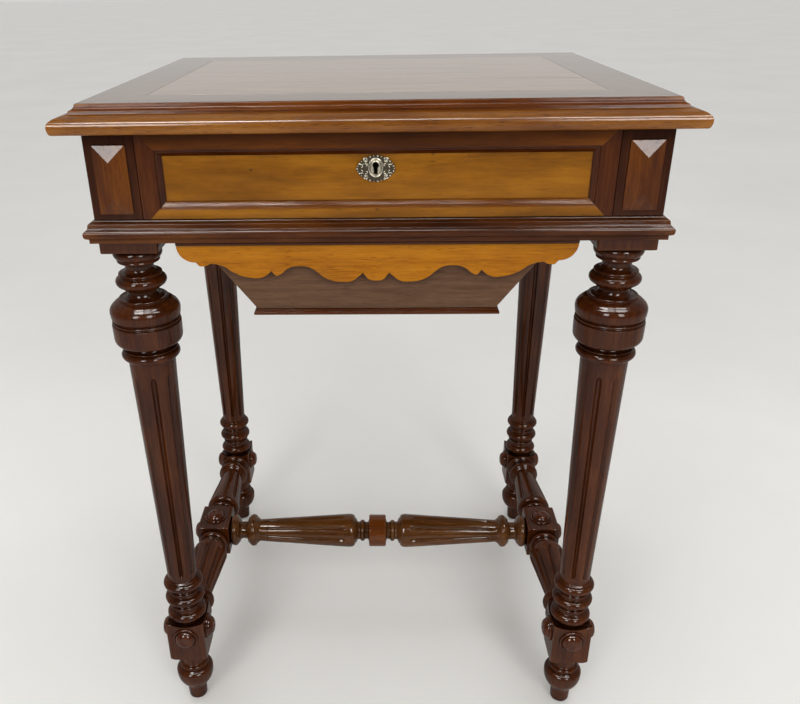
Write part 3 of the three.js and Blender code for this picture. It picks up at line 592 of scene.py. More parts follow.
# ---- Turned work ----
FLUTES = 8
FLUTE_SHARE = 0.36  # how much of each eighth of the girth is flute
FLUTE_STOPS = (-0.5, -0.36, -0.25, -0.19, -0.17, -0.13, -0.08, -0.02, 0.0, 0.02, 0.08, 0.13, 0.17, 0.19,
               0.25, 0.36)
ANGLES = [2 * math.pi * (i + stop) / FLUTES for i in range(FLUTES) for stop in FLUTE_STOPS]


def flute_cut(height, angle, radius, flutes):
    """How deep the flutes cut at a height and angle. flutes is (low, high, depth), with round ends."""
    low, high, depth = flutes
    width = FLUTE_SHARE * math.pi * radius / FLUTES
    inside = min(height - low, high - height)
    if inside <= 0:
        return 0.0
    narrowed = width * math.sqrt(max(0.0, 1 - (1 - min(1.0, inside / (2.2 * width))) ** 2))
    eighth = 2 * math.pi / FLUTES
    off = abs((angle + eighth / 2) % eighth - eighth / 2) * radius
    if off >= narrowed or narrowed < 1e-6:
        return 0.0
    return depth * (narrowed / width) * (1 - (off / narrowed) ** 2)


def turned_rings(outline, flutes=None, twist=None):
    """Rings of (radius, height, angle) from a turned outline of (height, radius) stops."""
    rings = []
    upright = [(radius, height, *bulge) for height, radius, *bulge in outline]
    line = [(height, radius) for radius, height in curve_points(upright)]
    for height, radius in refine(line, flutes):
        turn = twist(height) if twist else 0.0
        ring = []
        for angle in ANGLES:
            cut = flute_cut(height, angle, radius, flutes) if flutes else 0.0
            ring.append((max(0.0, radius - cut), height, angle + turn))
        rings.append(ring)
    return rings


def refine(line, flutes):
    """Adds rows where the round ends of the flutes are."""
    if not flutes:
        return line
    low, high, _ = flutes
    wanted = [low + d for d in (0.0, 0.4, 1.0, 2.0, 3.5, 5.5, 8.0)]
    wanted += [high - d for d in (8.0, 5.5, 3.5, 2.0, 1.0, 0.4, 0.0)]
    made = [line[0]]
    for (h0, r0), (h1, r1) in zip(line, line[1:]):
        for height in sorted(h for h in wanted if min(h0, h1) + 0.05 < h < max(h0, h1) - 0.05):
            made.append((height, r0 + (r1 - r0) * (height - h0) / (h1 - h0)))
        made.append((h1, r1))
    return made


def square_radius(angle, half_a, half_b, crisp=34):
    """The distance to the edge of a rectangle with slightly eased corners."""
    a = abs(math.cos(angle)) / half_a
    b = abs(math.sin(angle)) / half_b
    return (a ** crisp + b ** crisp) ** (-1.0 / crisp)


def square_rings(half_a, half_b, stops):
    """Rings across a square block. Each stop is (core, share, height): share of the way from the core
    radius to the block's edge, and a height worked out from the radius there."""
    rings = []
    for core, share, height in stops:
        ring = []
        for angle in ANGLES:
            radius = core + (square_radius(angle, half_a, half_b) - core) * share
            ring.append((radius, height(radius), angle))
        rings.append(ring)
    return rings


def wind(rings, place):
    """The shape through rings of (radius, height, angle), put in the table by place."""
    return loft([[place(r * math.cos(a), r * math.sin(a), h) for r, h, a in ring] for ring in rings])


def smoothstep(value, low, high):
    t = max(0.0, min(1.0, (value - low) / (high - low)))
    return t * t * (3 - 2 * t)


FOOT = [(0, 9.0), (1.8, 11.4, 0.5), (16.5, 12.1), (22, 13.4, -0.3), (28, 18.2, -0.7), (45, 22.9, 1.4),
        (52.6, 18.6, 1.7), (53.8, 16.4), (60, 16.4, 1.9), (61.2, 14.6, -0.2), (79.7, 14.3)]
SHANK = [(132.2, 16.4), (136.4, 17.0, -0.3), (137.6, 18.9), (149.2, 18.7, 4.6), (150.2, 17.0),
         (154.6, 16.8), (155.4, 17.6), (158.8, 17.6, 1.7), (159.6, 16.8), (162.0, 17.2), (162.6, 18.9),
         (173.2, 18.9, 4.6), (174.2, 17.2), (176.4, 16.9), (177.0, 17.6), (180.2, 17.6, 1.5),
         (181.0, 16.9), (183.6, 17.2), (184.4, 18.9), (194.6, 19.0, 4.5), (195.0, 19.8),
         (196.6, 19.6, 0.4), (197.6, 17.4), (489.6, 24.3), (491.2, 26.4, -0.5), (492.4, 26.8),
         (501.0, 27.2, 3.2), (501.6, 26.4), (502.2, 27.7), (503.6, 27.6, 0.5), (504.2, 26.2),
         (507.4, 24.4, -0.7), (508.8, 30.4, -0.9), (515.2, 34.9, 1.0), (531.4, 35.2, 0.1), (532.2, 33.4),
         (533.2, 33.2), (533.6, 34.2), (535.2, 34.2, 0.5), (535.7, 32.8), (536.4, 32.8),
         (541.8, 35.2, 0.9), (552.6, 31.4, 1.9), (556.2, 26.0, 0.5), (556.6, 24.6), (557.4, 24.6),
         (559.6, 23.9, 0.5), (564.0, 15.2, -2.4), (567.4, 15.4, -0.4), (568.6, 18.8, -0.8),
         (570.2, 19.4), (571.2, 21.6), (581.2, 21.8, 3.8), (581.8, 20.7), (582.6, 20.7), (583.2, 21.4),
         (585.2, 21.2, 0.5), (585.8, 19.8), (590.8, 14.2, -1.9), (593.4, 14.5), (596.0, 18.8, -1.2),
         (596.8, 20.8), (598.8, 21.0, 0.4), (599.6, 20.8), (600.2, 21.2), (610.6, 21.4, 3.0),
         (611.6, 20.6)]
LEG_FLUTES = (206.0, 475.0, 2.9)
CORE = 14.3


def make_leg(name, x, y, phase):
    """One turned leg: foot, square block, three rings, fluted shaft, drum, and square plate."""
    def twist(height):
        return phase * smoothstep(height, 140, 204) * (1 - smoothstep(height, 490, 600))

    def trimmed(radius):
        return 80 + max(0.0, radius - 28.5) * 0.5

    def dished(radius):
        return 133 + (radius - LEG_BLOCK) * (0.72 if radius > LEG_BLOCK else 0.28)

    rings = turned_rings(FOOT)
    rings += square_rings(LEG_BLOCK, LEG_BLOCK, [
        (CORE, 0.0, trimmed), (CORE, 0.5, trimmed), (CORE, 0.8, trimmed), (CORE, 0.97, trimmed),
        (CORE, 1.0, lambda r: trimmed(r) + 0.5), (CORE, 1.0, lambda r: 100.0),
        (CORE, 1.0, lambda r: 120.0), (CORE, 1.0, lambda r: dished(r) - 0.5), (16.0, 0.97, dished),
        (16.0, 0.7, dished), (16.0, 0.35, dished), (16.0, 0.0, dished)])
    rings += turned_rings(SHANK, LEG_FLUTES, twist)
    plate = (611.7, 612.1, 616.0, 622.2, 622.7)
    reach = (27.6, 28.0, 28.0, 28.0, 27.6)
    rings += square_rings(27.6, 27.6, [(20.6, share, lambda r: plate[0]) for share in (0.1, 0.6)])
    for height, half in zip(plate, reach):
        rings += square_rings(half, half, [(20.6, 1.0, lambda r, h=height: h)])
    shape = wind(rings, lambda a, b, h: (x + a, y + b, h))
    piece(name, shape, "darkZ", node_name=name, uneven=0.12)


BOSS = [(-0.4, 15.2), (0.5, 15.2), (2.6, 13.4, 0.75), (1.8, 12.7), (1.6, 12.3), (3.4, 12.0, 0.1),
        (8.0, 1.2, 2.6), (8.1, 0.4)]


def make_boss(name, place, direction):
    """A domed button with a ring round it, glued on a face that looks along direction."""
    turn = Vector(direction).to_track_quat("Z", "Y")
    rings = turned_rings(BOSS)
    start = Vector(place)
    shape = wind(rings, lambda a, b, h: start + turn @ Vector((a, b, h)))
    piece(name, shape, "bossZ", uneven=0.1)


def make_legs():
    phases = {("front", "left"): 12.0, ("front", "right"): -22.0, ("back", "left"): 6.0,
              ("back", "right"): -9.0}
    for (end, side), phase in phases.items():
        sx = 1 if side == "right" else -1
        sy = 1 if end == "back" else -1
        name = f"leg_{end}_{side}"
        make_leg(name, sx * LEG_X, sy * LEG_Y, math.radians(phase))
        for place, dx, dy in (("outer", sx, 0), ("inner", -sx, 0), ("end", 0, sy)):
            centre = (sx * LEG_X + dx * LEG_BLOCK, sy * LEG_Y + dy * LEG_BLOCK, STRETCHER_Z)
            make_boss(f"boss_{place}_{end}_{side}", centre, (dx, dy, 0))


ARM = [(27.2, 16.2), (28.4, 16.2), (36.6, 16.2, 4.4), (37.6, 14.8), (39.2, 14.8), (40.2, 15.6),
       (46.0, 15.6, 3.4), (47.2, 15.0), (48.6, 18.8, -0.5), (49.6, 20.8), (52, 23.0, 0.5),
       (56, 23.7, 0.2), (139, 15.9), (141.4, 18.4, -0.3), (143, 19.4), (153, 19.4, 3.0), (154.2, 18.0),
       (157.0, 12.8, -0.8), (159.6, 12.8), (162.6, 18.2, -0.8), (163.6, 19.2), (171.8, 19.4, 3.4),
       (172.2, 18.0)]
ARM_FLUTES = (59.0, 133.0, 2.4)
CROSS_HALF = [(0.0, 22.9), (10.6, 22.9), (12.2, 21.6, 0.2), (12.5, 17.0), (14.4, 12.4, -0.4),
              (17.4, 12.4), (18.6, 13.2), (25.2, 13.2, 2.3), (26.2, 12.8), (28.4, 12.8),
              (30.2, 16.0, -0.3), (32.2, 18.4, 0.3), (33.2, 20.4), (36.6, 23.4, 0.6), (42, 24.0, 0.2),
              (171.0, 15.8), (173.6, 17.0, -0.3), (176.4, 19.0), (187.4, 19.4, 3.8), (189.4, 18.0),
              (192.6, 12.4, -1.1), (198.0, 12.0), (202.4, 17.6, -1.1), (204.4, 19.0), (213.6, 19.6, 3.4),
              (214.7, 18.0)]
CROSS_FLUTES = (47.0, 165.0, 2.4)


def mirrored(outline):
    """The same outline running the other way, so that a bulge stays on its own stretch."""
    made = []
    bulge = 0.0
    for stop in reversed(outline):
        made.append((-stop[0], stop[1], bulge))
        bulge = stop[2] if len(stop) > 2 else 0.0
    return made


def make_stretchers():
    for side, sx in (("left", -1), ("right", 1)):
        name = f"side_stretcher_{side}"
        half_x, half_z = 22.0, 22.8
        ends = [(STRETCHER_CORE, share, lambda r: STRETCHER_BLOCK) for share in (0.0, 0.5, 0.97)]
        ends.append((STRETCHER_CORE, 1.0, lambda r: STRETCHER_BLOCK - 0.4))
        middle = [(STRETCHER_CORE, 1.0, lambda r, h=height: h) for height in (-9.0, 9.0)]
        faces_in = [(core, share, lambda r, h=height: -h(r)) for core, share, height in ends]
        rings = [[(r, -h, a) for r, h, a in ring] for ring in reversed(turned_rings(ARM, ARM_FLUTES))]
        rings += square_rings(half_x, half_z, faces_in)
        rings += square_rings(half_x, half_z, middle)
        rings += square_rings(half_x, half_z, list(reversed(ends)))
        rings += turned_rings(ARM, ARM_FLUTES)
        shape = wind(rings, lambda a, b, h, x=sx * LEG_X: (x + a, h, STRETCHER_Z + b))
        piece(name, shape, "darkY", node_name=name, uneven=0.12)
        make_boss(f"boss_side_{side}", (sx * (LEG_X + half_x), 0, STRETCHER_Z), (sx, 0, 0))
        make_boss(f"boss_top_{side}", (sx * LEG_X, 0, STRETCHER_Z + half_z), (0, 0, 1))

    arm = [stop for stop in CROSS_HALF if stop[0] >= CROSS_DRUM]
    for side, sx in (("left", -1), ("right", 1)):
        rings = turned_rings([(11.9, 12.0)] + arm, CROSS_FLUTES)
        shape = wind(rings, lambda a, b, h, s=sx: (s * h, a, STRETCHER_Z + b))
        piece(f"cross_arm_{side}", shape, "crossX", node_name="cross_stretcher", uneven=0.12)
    drum = [stop for stop in CROSS_HALF if stop[0] < CROSS_DRUM]
    rings = turned_rings(mirrored(drum)[:-1] + drum)
    shape = wind(rings, lambda a, b, h: (h, a, STRETCHER_Z + b))
    piece("cross_drum", shape, "drumX", node_name="cross_stretcher", uneven=0.1)


# ---- Mitred members: mouldings and boards that run round a rectangle ----
SIDES = ("front", "right", "back", "left")
QUARTERS = ((1, 0), (0, 1), (-1, 0), (0, -1))  # the cosine and sine of each side's turn


def member(profile, side, half_u, half_v, gap=0.08, step=16.0):
    """One side of a mitred frame. The profile holds (out, w) points, with out measured from the
    rectangle's edge. Sides count from the low-v one, turning to high u."""
    run, reach = (half_u, half_v) if side % 2 == 0 else (half_v, half_u)
    stations = max(2, int(2 * run / step))
    cos, sin = QUARTERS[side]
    rings = []
    for i in range(stations + 1):
        share = 2 * i / stations - 1
        ring = []
        for out, w in profile:
            u = share * (run + out - gap)
            v = -(reach + out)
            ring.append((u * cos - v * sin, u * sin + v * cos, w))
        rings.append(ring)
    return loft(rings)


def on_face(side, middle_z):
    """Puts (u, v, depth) on a face of the case: u to its right, v up, depth inwards."""
    def place(u, v, depth):
        x, y = (u, depth - CASE_Y) if side % 2 == 0 else (u, depth - CASE_X)
        cos, sin = QUARTERS[side]
        return (x * cos - y * sin, x * sin + y * cos, middle_z + v)
    return place


LID_EDGE = [(0.3, LID_BOTTOM), (18.2, LID_BOTTOM), (21.6, 728.2, 0.9), (22.2, 732.0, 0.2),
            (19.6, 737.2, 0.9), (13.6, 739.9, 0.5), (6.6, 741.4, 0.2), (6.0, 744.1), (4.9, 744.6),
            (1.5, 748.6, -0.8), (0.3, 749.9, 0.2)]
BASE_EDGE = [(-50, 623), (5.9, 623), (5.9, 627.1), (8.0, 628.0), (9.9, 631.6, 0.7), (8.4, 635.3, 0.8),
             (6.3, 637.0), (6.0, 638.0), (5.4, 641.2), (1.2, 642.9, 0.3), (0.4, 643.9), (-50, 644)]


def closed_profile(stops, ease=0.3):
    return curve_points([*stops, stops[0]], ease, 1e6)[:-1]


def make_lid():
    border = [(-50 + 0.05, LID_BOTTOM), (0.2, LID_BOTTOM), (0.2, LID_TOP), (-50 + 0.05, LID_TOP)]
    for side, name in enumerate(SIDES):
        axis = "XY"[side % 2]
        shape = member(closed_profile(border, 0.12), side, CASE_X, CASE_Y, step=22.0)
        board_name = f"lid_border_{name}"
        border_board = piece(board_name, shape, "border" + axis, "lid", board_name, uneven=0.06)
        shape = member(closed_profile(LID_EDGE), side, CASE_X, CASE_Y, 0.04)
        edge_name = f"lid_moulding_{name}"
        edge = piece(edge_name, shape, "edge" + axis, "lid", edge_name, uneven=0.22)
        if name == "back":
            let_in_hinges(border_board, edge)
        if name == "front":
            low, high = span("lock_link_plate")
            carve(border_board, (low.x, low.y, LID_BOTTOM - 1), (high.x, high.y, high.z))
    make_field()


def make_field():
    """Two boards that have parted a little along a line that wanders near the front."""
    seam = [(-FIELD_X, -62.9), (-120, -60.4), (25, -60.9), (80, -64.0), (140, -68.5), (206, -73.5),
            (FIELD_X, -74.0)]
    opening = (0.12, 0.2, 0.3, 0.55, 0.75, 0.7, 0.5)
    upper = [(x, y + half) for (x, y), half in zip(seam, opening)]
    lower = [(x, y - half) for (x, y), half in zip(seam, opening)]
    back = upper + [(FIELD_X, FIELD_Y), (-FIELD_X, FIELD_Y)]
    front = [(-FIELD_X, -FIELD_Y), (FIELD_X, -FIELD_Y)] + lower[::-1]
    low = span("lid_field_panel")[0].z
    for name, outline in (("lid_field_back_board", back), ("lid_field_front_board", front)):
        piece(name, slab(outline, low, LID_TOP), "fieldX", "lid", "lid_field_panel", bevel=0.12)


def cutter(low, high):
    mesh = bpy.data.meshes.new("cutter")
    work = bmesh.new()
    bmesh.ops.create_cube(work, size=1.0)
    for vertex in work.verts:
        vertex.co = [(l + (h - l) * (c + 0.5)) * MM for l, h, c in zip(low, high, vertex.co)]
    work.to_mesh(mesh)
    work.free()
    return add_object("cutter", mesh)


def carve(made, low, high):
    """Cuts a box-shaped recess in a piece for good."""
    tool = cutter(low, high)
    cut = made.modifiers.new("recess", "BOOLEAN")
    cut.operation = "DIFFERENCE"
    cut.solver = "EXACT"
    cut.object = tool
    others = [m for m in made.modifiers if m != cut]
    for modifier in others:
        modifier.show_viewport = False
    bpy.context.view_layer.update()
    evaluated = made.evaluated_get(bpy.context.evaluated_depsgraph_get())
    mesh = bpy.data.meshes.new_from_object(evaluated)
    made.modifiers.remove(cut)
    old = made.data
    made.data = mesh
    bpy.data.meshes.remove(old)
    bpy.data.objects.remove(tool)
    for modifier in others:
        modifier.show_viewport = True


def let_in_hinges(*boards):
    for side in ("left", "right"):
        leaf_low, leaf_high = span(f"hinge_upper_leaf_{side}")
        pin_low, pin_high = span(f"hinge_pin_{side}")
        for made in boards:
            carve(made, (leaf_low.x - HAIR, leaf_low.y - HAIR, LID_BOTTOM - 1),
                  (leaf_high.x + HAIR, pin_high.y, LID_BOTTOM + 2.0))
            carve(made, (pin_low.x - HAIR, pin_low.y - 2.3, LID_BOTTOM - 1),
                  (pin_high.x + HAIR, pin_high.y + 2.3, LID_BOTTOM + 3.6))


# ---- Frieze ----
SLOPE = [(0.0, 1.2), (0.0, PANEL_FACE - 0.3), (-MOULDING, PANEL_FACE - 0.3), (-MOULDING, PANEL_FACE - 0.9),
         (-MOULDING + 0.5, PANEL_FACE - 1.4), (-2.7, 3.7), (-2.3, 3.7), (-1.5, 2.0, -0.5), (-1.0, 1.8),
         (-0.8, 1.2)]


def frame_boards(inner, half_u, low_z, high_z):
    """The outlines of the rails and stiles round a panel, mitred at the panel's corners."""
    bottom = PANEL_LOW - low_z
    top = min(high_z - PANEL_HIGH, STILE - HAIR)
    stile = [(inner + bottom, low_z), (half_u, low_z), (half_u, high_z), (inner + top, high_z),
             (inner, PANEL_HIGH), (inner, PANEL_LOW)]
    return {
        "top_rail": [(-inner - top, high_z), (inner + top, high_z), (inner, PANEL_HIGH),
                     (-inner, PANEL_HIGH)],
        "bottom_rail": [(-inner - bottom, low_z), (inner + bottom, low_z), (inner, PANEL_LOW),
                        (-inner, PANEL_LOW)],
        "right_stile": stile,
        "left_stile": [(-u, v) for u, v in stile],
    }


def make_frieze():
    middle = (PANEL_LOW + PANEL_HIGH) / 2
    half_v = (PANEL_HIGH - PANEL_LOW) / 2
    low_z, high_z = CASE_BOTTOM + HAIR, CASE_TOP - HAIR
    for side, name in enumerate(SIDES):
        half_u = (CASE_X if side % 2 == 0 else CASE_Y) - POST - HAIR
        inner = half_u - STILE
        level = "XY"[side % 2]
        depth = FRAME_DEPTH if name == "front" else PANEL_FACE
        frame_node = f"panel_frame_{name}"
        finishes = {"top_rail": "shaded_russet" + level, "bottom_rail": "gold" + level}
        for part, outline in frame_boards(inner, half_u, low_z, high_z).items():
            shape = slab(outline, 1.0, depth, on_face(side, 0.0))
            finish = finishes.get(part, "redZ")
            made = piece(f"{name}_{part}", shape, finish, node_name=frame_node, bevel=0.3)
            if (name, part) == ("back", "top_rail"):
                let_in_lower_leaves(made)

        turn = on_face(side, middle)
        # the bottom side carries painted light
        finishes = ("sill" + level, "slopeZ", "slope" + level, "slopeZ")
        node_name = "panel_moulding_front" if name == "front" else frame_node
        for edge, finish in enumerate(finishes):
            points, faces = member(closed_profile(SLOPE, 0.25), edge, inner - 0.1, half_v - 0.1, 0.05)
            shape = ([turn(*point) for point in points], faces)
            piece(f"{name}_panel_moulding_{edge + 1}", shape, finish, node_name=node_name, uneven=0.1)

        shape = member(closed_profile(BASE_EDGE), side, CASE_X, CASE_Y, 0.05)
        base_name = f"base_moulding_{name}"
        piece(base_name, shape, "base" + level, node_name=base_name, uneven=0.15)
    make_posts(low_z, high_z)


def let_in_lower_leaves(rail):
    for side in ("left", "right"):
        low, high = span(f"hinge_lower_leaf_{side}")
        carve(rail, (low.x - HAIR, low.y, CASE_TOP - 2.0), (high.x + HAIR, high.y, CASE_TOP + 2.0))


def make_diamond(name, side, middle_u, node_name=None):
    """A long diamond-point block with a thin upright edge, glued on a post. The back faces have none,
    because the lid's moulding comes down there when the lid is open."""
    half_u, half_v, lift, proud, ridge = 15.6, 31.8, 1.3, 7.3, 16.7
    face = on_face(side, DIAMOND_Z)
    base = [(-half_u, -half_v), (half_u, -half_v), (half_u, half_v), (-half_u, half_v)]
    points = [face(middle_u + u, v, -raised - 0.2) for raised in (0.0, lift) for u, v in base]
    points += [face(middle_u, v, -proud - 0.2) for v in (-ridge, ridge)]
    faces = [(0, 1, 2, 3), (0, 1, 5, 4), (1, 2, 6, 5), (2, 3, 7, 6), (3, 0, 4, 7), (4, 5, 8), (6, 7, 9),
             (5, 6, 9, 8), (7, 4, 8, 9)]
    piece(name, (points, faces), "diamondZ", node_name=node_name, bevel=0.35)


def make_posts(low_z, high_z):
    for end, sy in (("front", -1), ("back", 1)):
        for side, sx in (("left", -1), ("right", 1)):
            name = f"corner_post_{end}_{side}"
            xs = sorted((sx * CASE_X, sx * (CASE_X - POST)))
            ys = sorted((sy * CASE_Y, sy * (CASE_Y - POST)))
            shape = block((xs[0], ys[0], low_z), (xs[1], ys[1], high_z))
            piece(name, shape, "postZ", node_name=name, bevel=0.5)
            if end == "front":
                node_name = f"diamond_block_front_{side}"
                make_diamond(f"diamond_front_{side}", 0, (CASE_X - POST / 2) * sx, node_name)
            turn = 1 if side == "right" else 3
            make_diamond(f"diamond_side_{end}_{side}", turn, (CASE_Y - POST / 2) * sy * sx)


# ---- Work box ----
APRON_EDGE = [(175.8, 599.4, -4.4), (172.5, 595.6), (162, 598.0, -1.2), (146, 593.8, 1.2),
              (120.7, 583.3, -2.4), (106.5, 586.4, -1.6), (102.3, 590.2), (99.4, 586.4), (95.6, 585.7, -0.5),
              (91.8, 587.8), (75, 595.0, 2.2), (57, 588.6, 2.2), (32, 578.8, -3.0), (18.5, 583.0, -1.8),
              (12.7, 587.9), (8.6, 582.4), (0, 580.0, -1.0)]


def make_workbox():
    def upright(outline, node_name):
        start, stop = span(node_name)
        return slab(outline, start.y, stop.y, lambda u, v, w: (u, w, v))

    top = span("workbox_apron")[1]
    outline = outline_points([(top.x, 614.0), *APRON_EDGE], top.z)
    shape = upright(outline, "workbox_apron")
    piece("workbox_apron", shape, "amberX", "workbox", "workbox_apron", bevel=0.7, segments=3)
    board("workbox_cap", "darkX", 0.9)

    low, high = span("workbox_front_board")
    floor_low, floor_high = span("workbox_bottom_board")
    half_low, half_high = floor_high.x - 3.5, high.x
    ends = [(-half_low, low.z), (half_low, low.z), (half_high, high.z), (-half_high, high.z)]
    for name in ("workbox_front_board", "workbox_back_board"):
        piece(name, upright(ends, name), "umberX", "workbox", name, bevel=0.4)
    for side in ("left", "right"):
        board(f"workbox_side_{side}", "umberY", 0.4)

    base = floor_low.z
    rim = [(-1.6, base), (-0.4, base + 0.5), (0.0, base + 1.9, 0.2), (-0.5, base + 3.6, 0.3),
           (-1.5, base + 4.2), (-2.0, floor_high.z - 0.6), (-2.6, floor_high.z)]
    centre_y = (floor_low.y + floor_high.y) / 2
    half_x, half_y = floor_high.x, (floor_high.y - floor_low.y) / 2
    rings = []
    for out, z in curve_points(rim, 0.2, 1e6):
        corners = ((-1, -1), (1, -1), (1, 1), (-1, 1))
        rings.append([(sx * (half_x + out), centre_y + sy * (half_y + out), z) for sx, sy in corners])
    piece("workbox_bottom_board", loft(rings), "redX", "workbox", "workbox_bottom_board")


def outline_points(right, top):
    """A symmetric outline in X and Z from its right half, closed by a straight top edge."""
    line = [tuple(right[0][:2])]
    for stop in right[1:]:
        line += arc(line[-1], tuple(stop[:2]), stop[2] if len(stop) > 2 else 0.0, 7)
    left = [(-x, z) for x, z in reversed(line[:-1])]
    half = right[0][0]
    return [(half, top), *line, *left, (-half, top)]


# ---- Plain boards and fittings that keep their CAD shape ----
def board(name, finish, bevel=0.5):
    """Gives a CAD node its finish and eased edges."""
    dress(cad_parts[name], finish, bevel)


# CAD node: (finish, bevel)
PLAIN_BOARDS = {
    "frieze_board_left": ("goldY", 0.2),
    "frieze_board_right": ("goldY", 0.2),
    "frieze_board_back": ("goldX", 0.2),
    "frieze_board_front": ("dealX", 0.3),
    "frieze_panel_front": ("goldX", 0.2),
    "well_bottom": ("dealX", 0.3),
    "compartment_divider_1": ("dealY", 0.8),
    "compartment_divider_2": ("dealY", 0.8),
    "workbox_runner_left": ("dealY", 0.6),
    "workbox_runner_right": ("dealY", 0.6),
    "runner_guide_left": ("dealY", 0.6),
    "runner_guide_right": ("dealY", 0.6),
    "lock_case": ("brass", 0.4),
    "lock_bolt": ("steel", 0.3),
    "lock_link_plate": ("brass", 0.3),
}


def make_plain_boards():
    for name, (finish, bevel) in PLAIN_BOARDS.items():
        board(name, finish, bevel)


def bar_along_x(middle, shape, sides, joined=False):
    """A round bar along X about middle, from (x, radius) stops. Joined makes it a tube."""
    rings = []
    for x, r in shape:
        ring = []
        for a in angles_round(sides):
            ring.append((middle.x + x, middle.y + r * math.cos(a), middle.z + r * math.sin(a)))
        rings.append(ring)
    return loft(rings, joined)


def join_parts(parts):
    """Several shapes as one."""
    points, faces = [], []
    for some, others in parts:
        start = len(points)
        points += [tuple(p) for p in some]
        faces += [tuple(start + i for i in face) for face in others]
    return points, faces


KNUCKLE = 3.1
KNUCKLE_BORE = 1.55
LEAF = 1.7  # thickness of a hinge leaf
LEAF_SCREWS = ((-20, 7), (0, 15), (20, 7))


def make_leaf(kind, side, middle, half):
    """One leaf with its knuckles and screws. The lower leaf has the outer two knuckles."""
    third = half / 3
    lower = kind == "lower"
    body = "frame" if lower else "lid"
    spans = ((-half, -third - 0.2), (third + 0.2, half)) if lower else ((-third, third),)
    name = f"hinge_{kind}_leaf_{side}"
    low_y = span(name)[0].y
    z0 = CASE_TOP - LEAF if lower else LID_BOTTOM
    z1 = CASE_TOP if lower else LID_BOTTOM + LEAF
    parts = [block((middle.x - half, low_y, z0), (middle.x + half, middle.y - 3.4, z1))]
    for start, end in spans:
        shape = [(start, KNUCKLE_BORE), (start, KNUCKLE - 0.25), (start + 0.25, KNUCKLE),
                 (end - 0.25, KNUCKLE), (end, KNUCKLE - 0.25), (end, KNUCKLE_BORE)]
        parts.append(bar_along_x(middle, shape, 40, joined=True))
        parts.append(block((middle.x + start, middle.y - 3.6, z0), (middle.x + end, middle.y - 1.7, z1)))
    piece(name, join_parts(parts), "brass", body, name, bevel=0.12)
    up, face_z = (1, z1) if lower else (-1, z0)
    for i, (dx, dy) in enumerate(LEAF_SCREWS):
        make_screw(f"hinge_screw_{kind}_{side}_{i + 1}", (middle.x + dx, low_y + dy, face_z), up, body)


def make_hinges():
    for side in ("left", "right"):
        name = f"hinge_pin_{side}"
        low, high = span(name)
        middle = (low + high) / 2
        half = (high.x - low.x) / 2 - HAIR
        for kind in ("lower", "upper"):
            make_leaf(kind, side, middle, half)
        shape = [(-half - 0.2, 0.6), (-half + 0.2, 1.3), (half - 0.2, 1.3), (half + 0.2, 0.6)]
        piece(name, bar_along_x(middle, shape, 28), "steel", "frame", name)


def make_screw(name, place, up, body):
    """A countersunk screw head with a slot, flush with the leaf and facing up or down."""
    radius, slot_half, slot_deep = 2.4, 0.38, 0.5
    rings = []
    for r, h in ((radius, -0.35), (radius, 0.05), (radius * 0.93, 0.12), (0.02, 0.2)):
        ring = []
        for a in angles_round(32):
            y = r * math.sin(a)
            drop = slot_deep if abs(y) < slot_half and h > 0.0 else 0.0
            ring.append((place[0] + r * math.cos(a), place[1] + y, place[2] + up * (h - drop)))
        rings.append(ring)
    piece(name, loft(rings), "steel", body)


# ---- Escutcheon: a pierced plate with beads and scrolls round a raised keyhole ring ----
def flat_curve(loops, depth, bevel):
    """A mesh from flat closed outlines, holes included, given a thickness and eased edges."""
    data = bpy.data.curves.new("flat", "CURVE")
    data.dimensions = "2D"
    data.fill_mode = "BOTH"
    data.extrude = depth * MM / 2
    data.bevel_depth = bevel * MM
    data.bevel_resolution = 1
    for loop in loops:
        spline = data.splines.new("POLY")
        spline.points.add(len(loop) - 1)
        for point, (u, v) in zip(spline.points, loop):
            point.co = (u * MM, v * MM, 0.0, 1.0)
        spline.use_cyclic_u = True
    holder = add_object("flat", data)
    bpy.context.view_layer.update()
    mesh = bpy.data.meshes.new_from_object(holder.evaluated_get(bpy.context.evaluated_depsgraph_get()))
    points = [tuple(c / MM for c in vertex.co) for vertex in mesh.vertices]
    faces = [tuple(p.vertices) for p in mesh.polygons]
    bpy.data.objects.remove(holder)
    bpy.data.curves.remove(data)
    bpy.data.meshes.remove(mesh)
    return points, faces


def dome(u, v, w, radius, height, rows=5, sides=16):
    """A small bead standing on the plate at (u, v, w)."""
    rings = []
    for row in range(rows):
        tilt = math.pi / 2 * row / (rows - 1)
        r = radius * max(0.02, math.cos(tilt))
        z = w + height * math.sin(tilt)
        rings.append([(u + r * math.cos(a), v + r * math.sin(a), z) for a in angles_round(sides)])
    return loft(rings)


def cord(path, radius, joined, sides=8):
    """A round bar along a path of (u, v, w) points, joined into a ring or with two ends."""
    rings = []
    for i, here in enumerate(path):
        ahead = Vector(path[(i + 1) % len(path)]) - Vector(path[i - 1])
        side_way = Vector((-ahead.y, ahead.x, 0.0)).normalized()
        ring = []
        for angle in angles_round(sides):
            lift = Vector((0, 0, radius * math.sin(angle)))
            ring.append(tuple(Vector(here) + side_way * radius * math.cos(angle) + lift))
        rings.append(ring)
    return loft(rings, joined)


def keyhole_outline(radius, slot_half, drop, steps=20):
    start = math.asin(slot_half / radius)
    arc_points = []
    for i in range(steps + 1):
        angle = -math.pi / 2 + start + (2 * math.pi - 2 * start) * i / steps
        arc_points.append((radius * math.cos(angle), radius * math.sin(angle)))
    return [*arc_points, (-slot_half, -drop), (slot_half, -drop)]


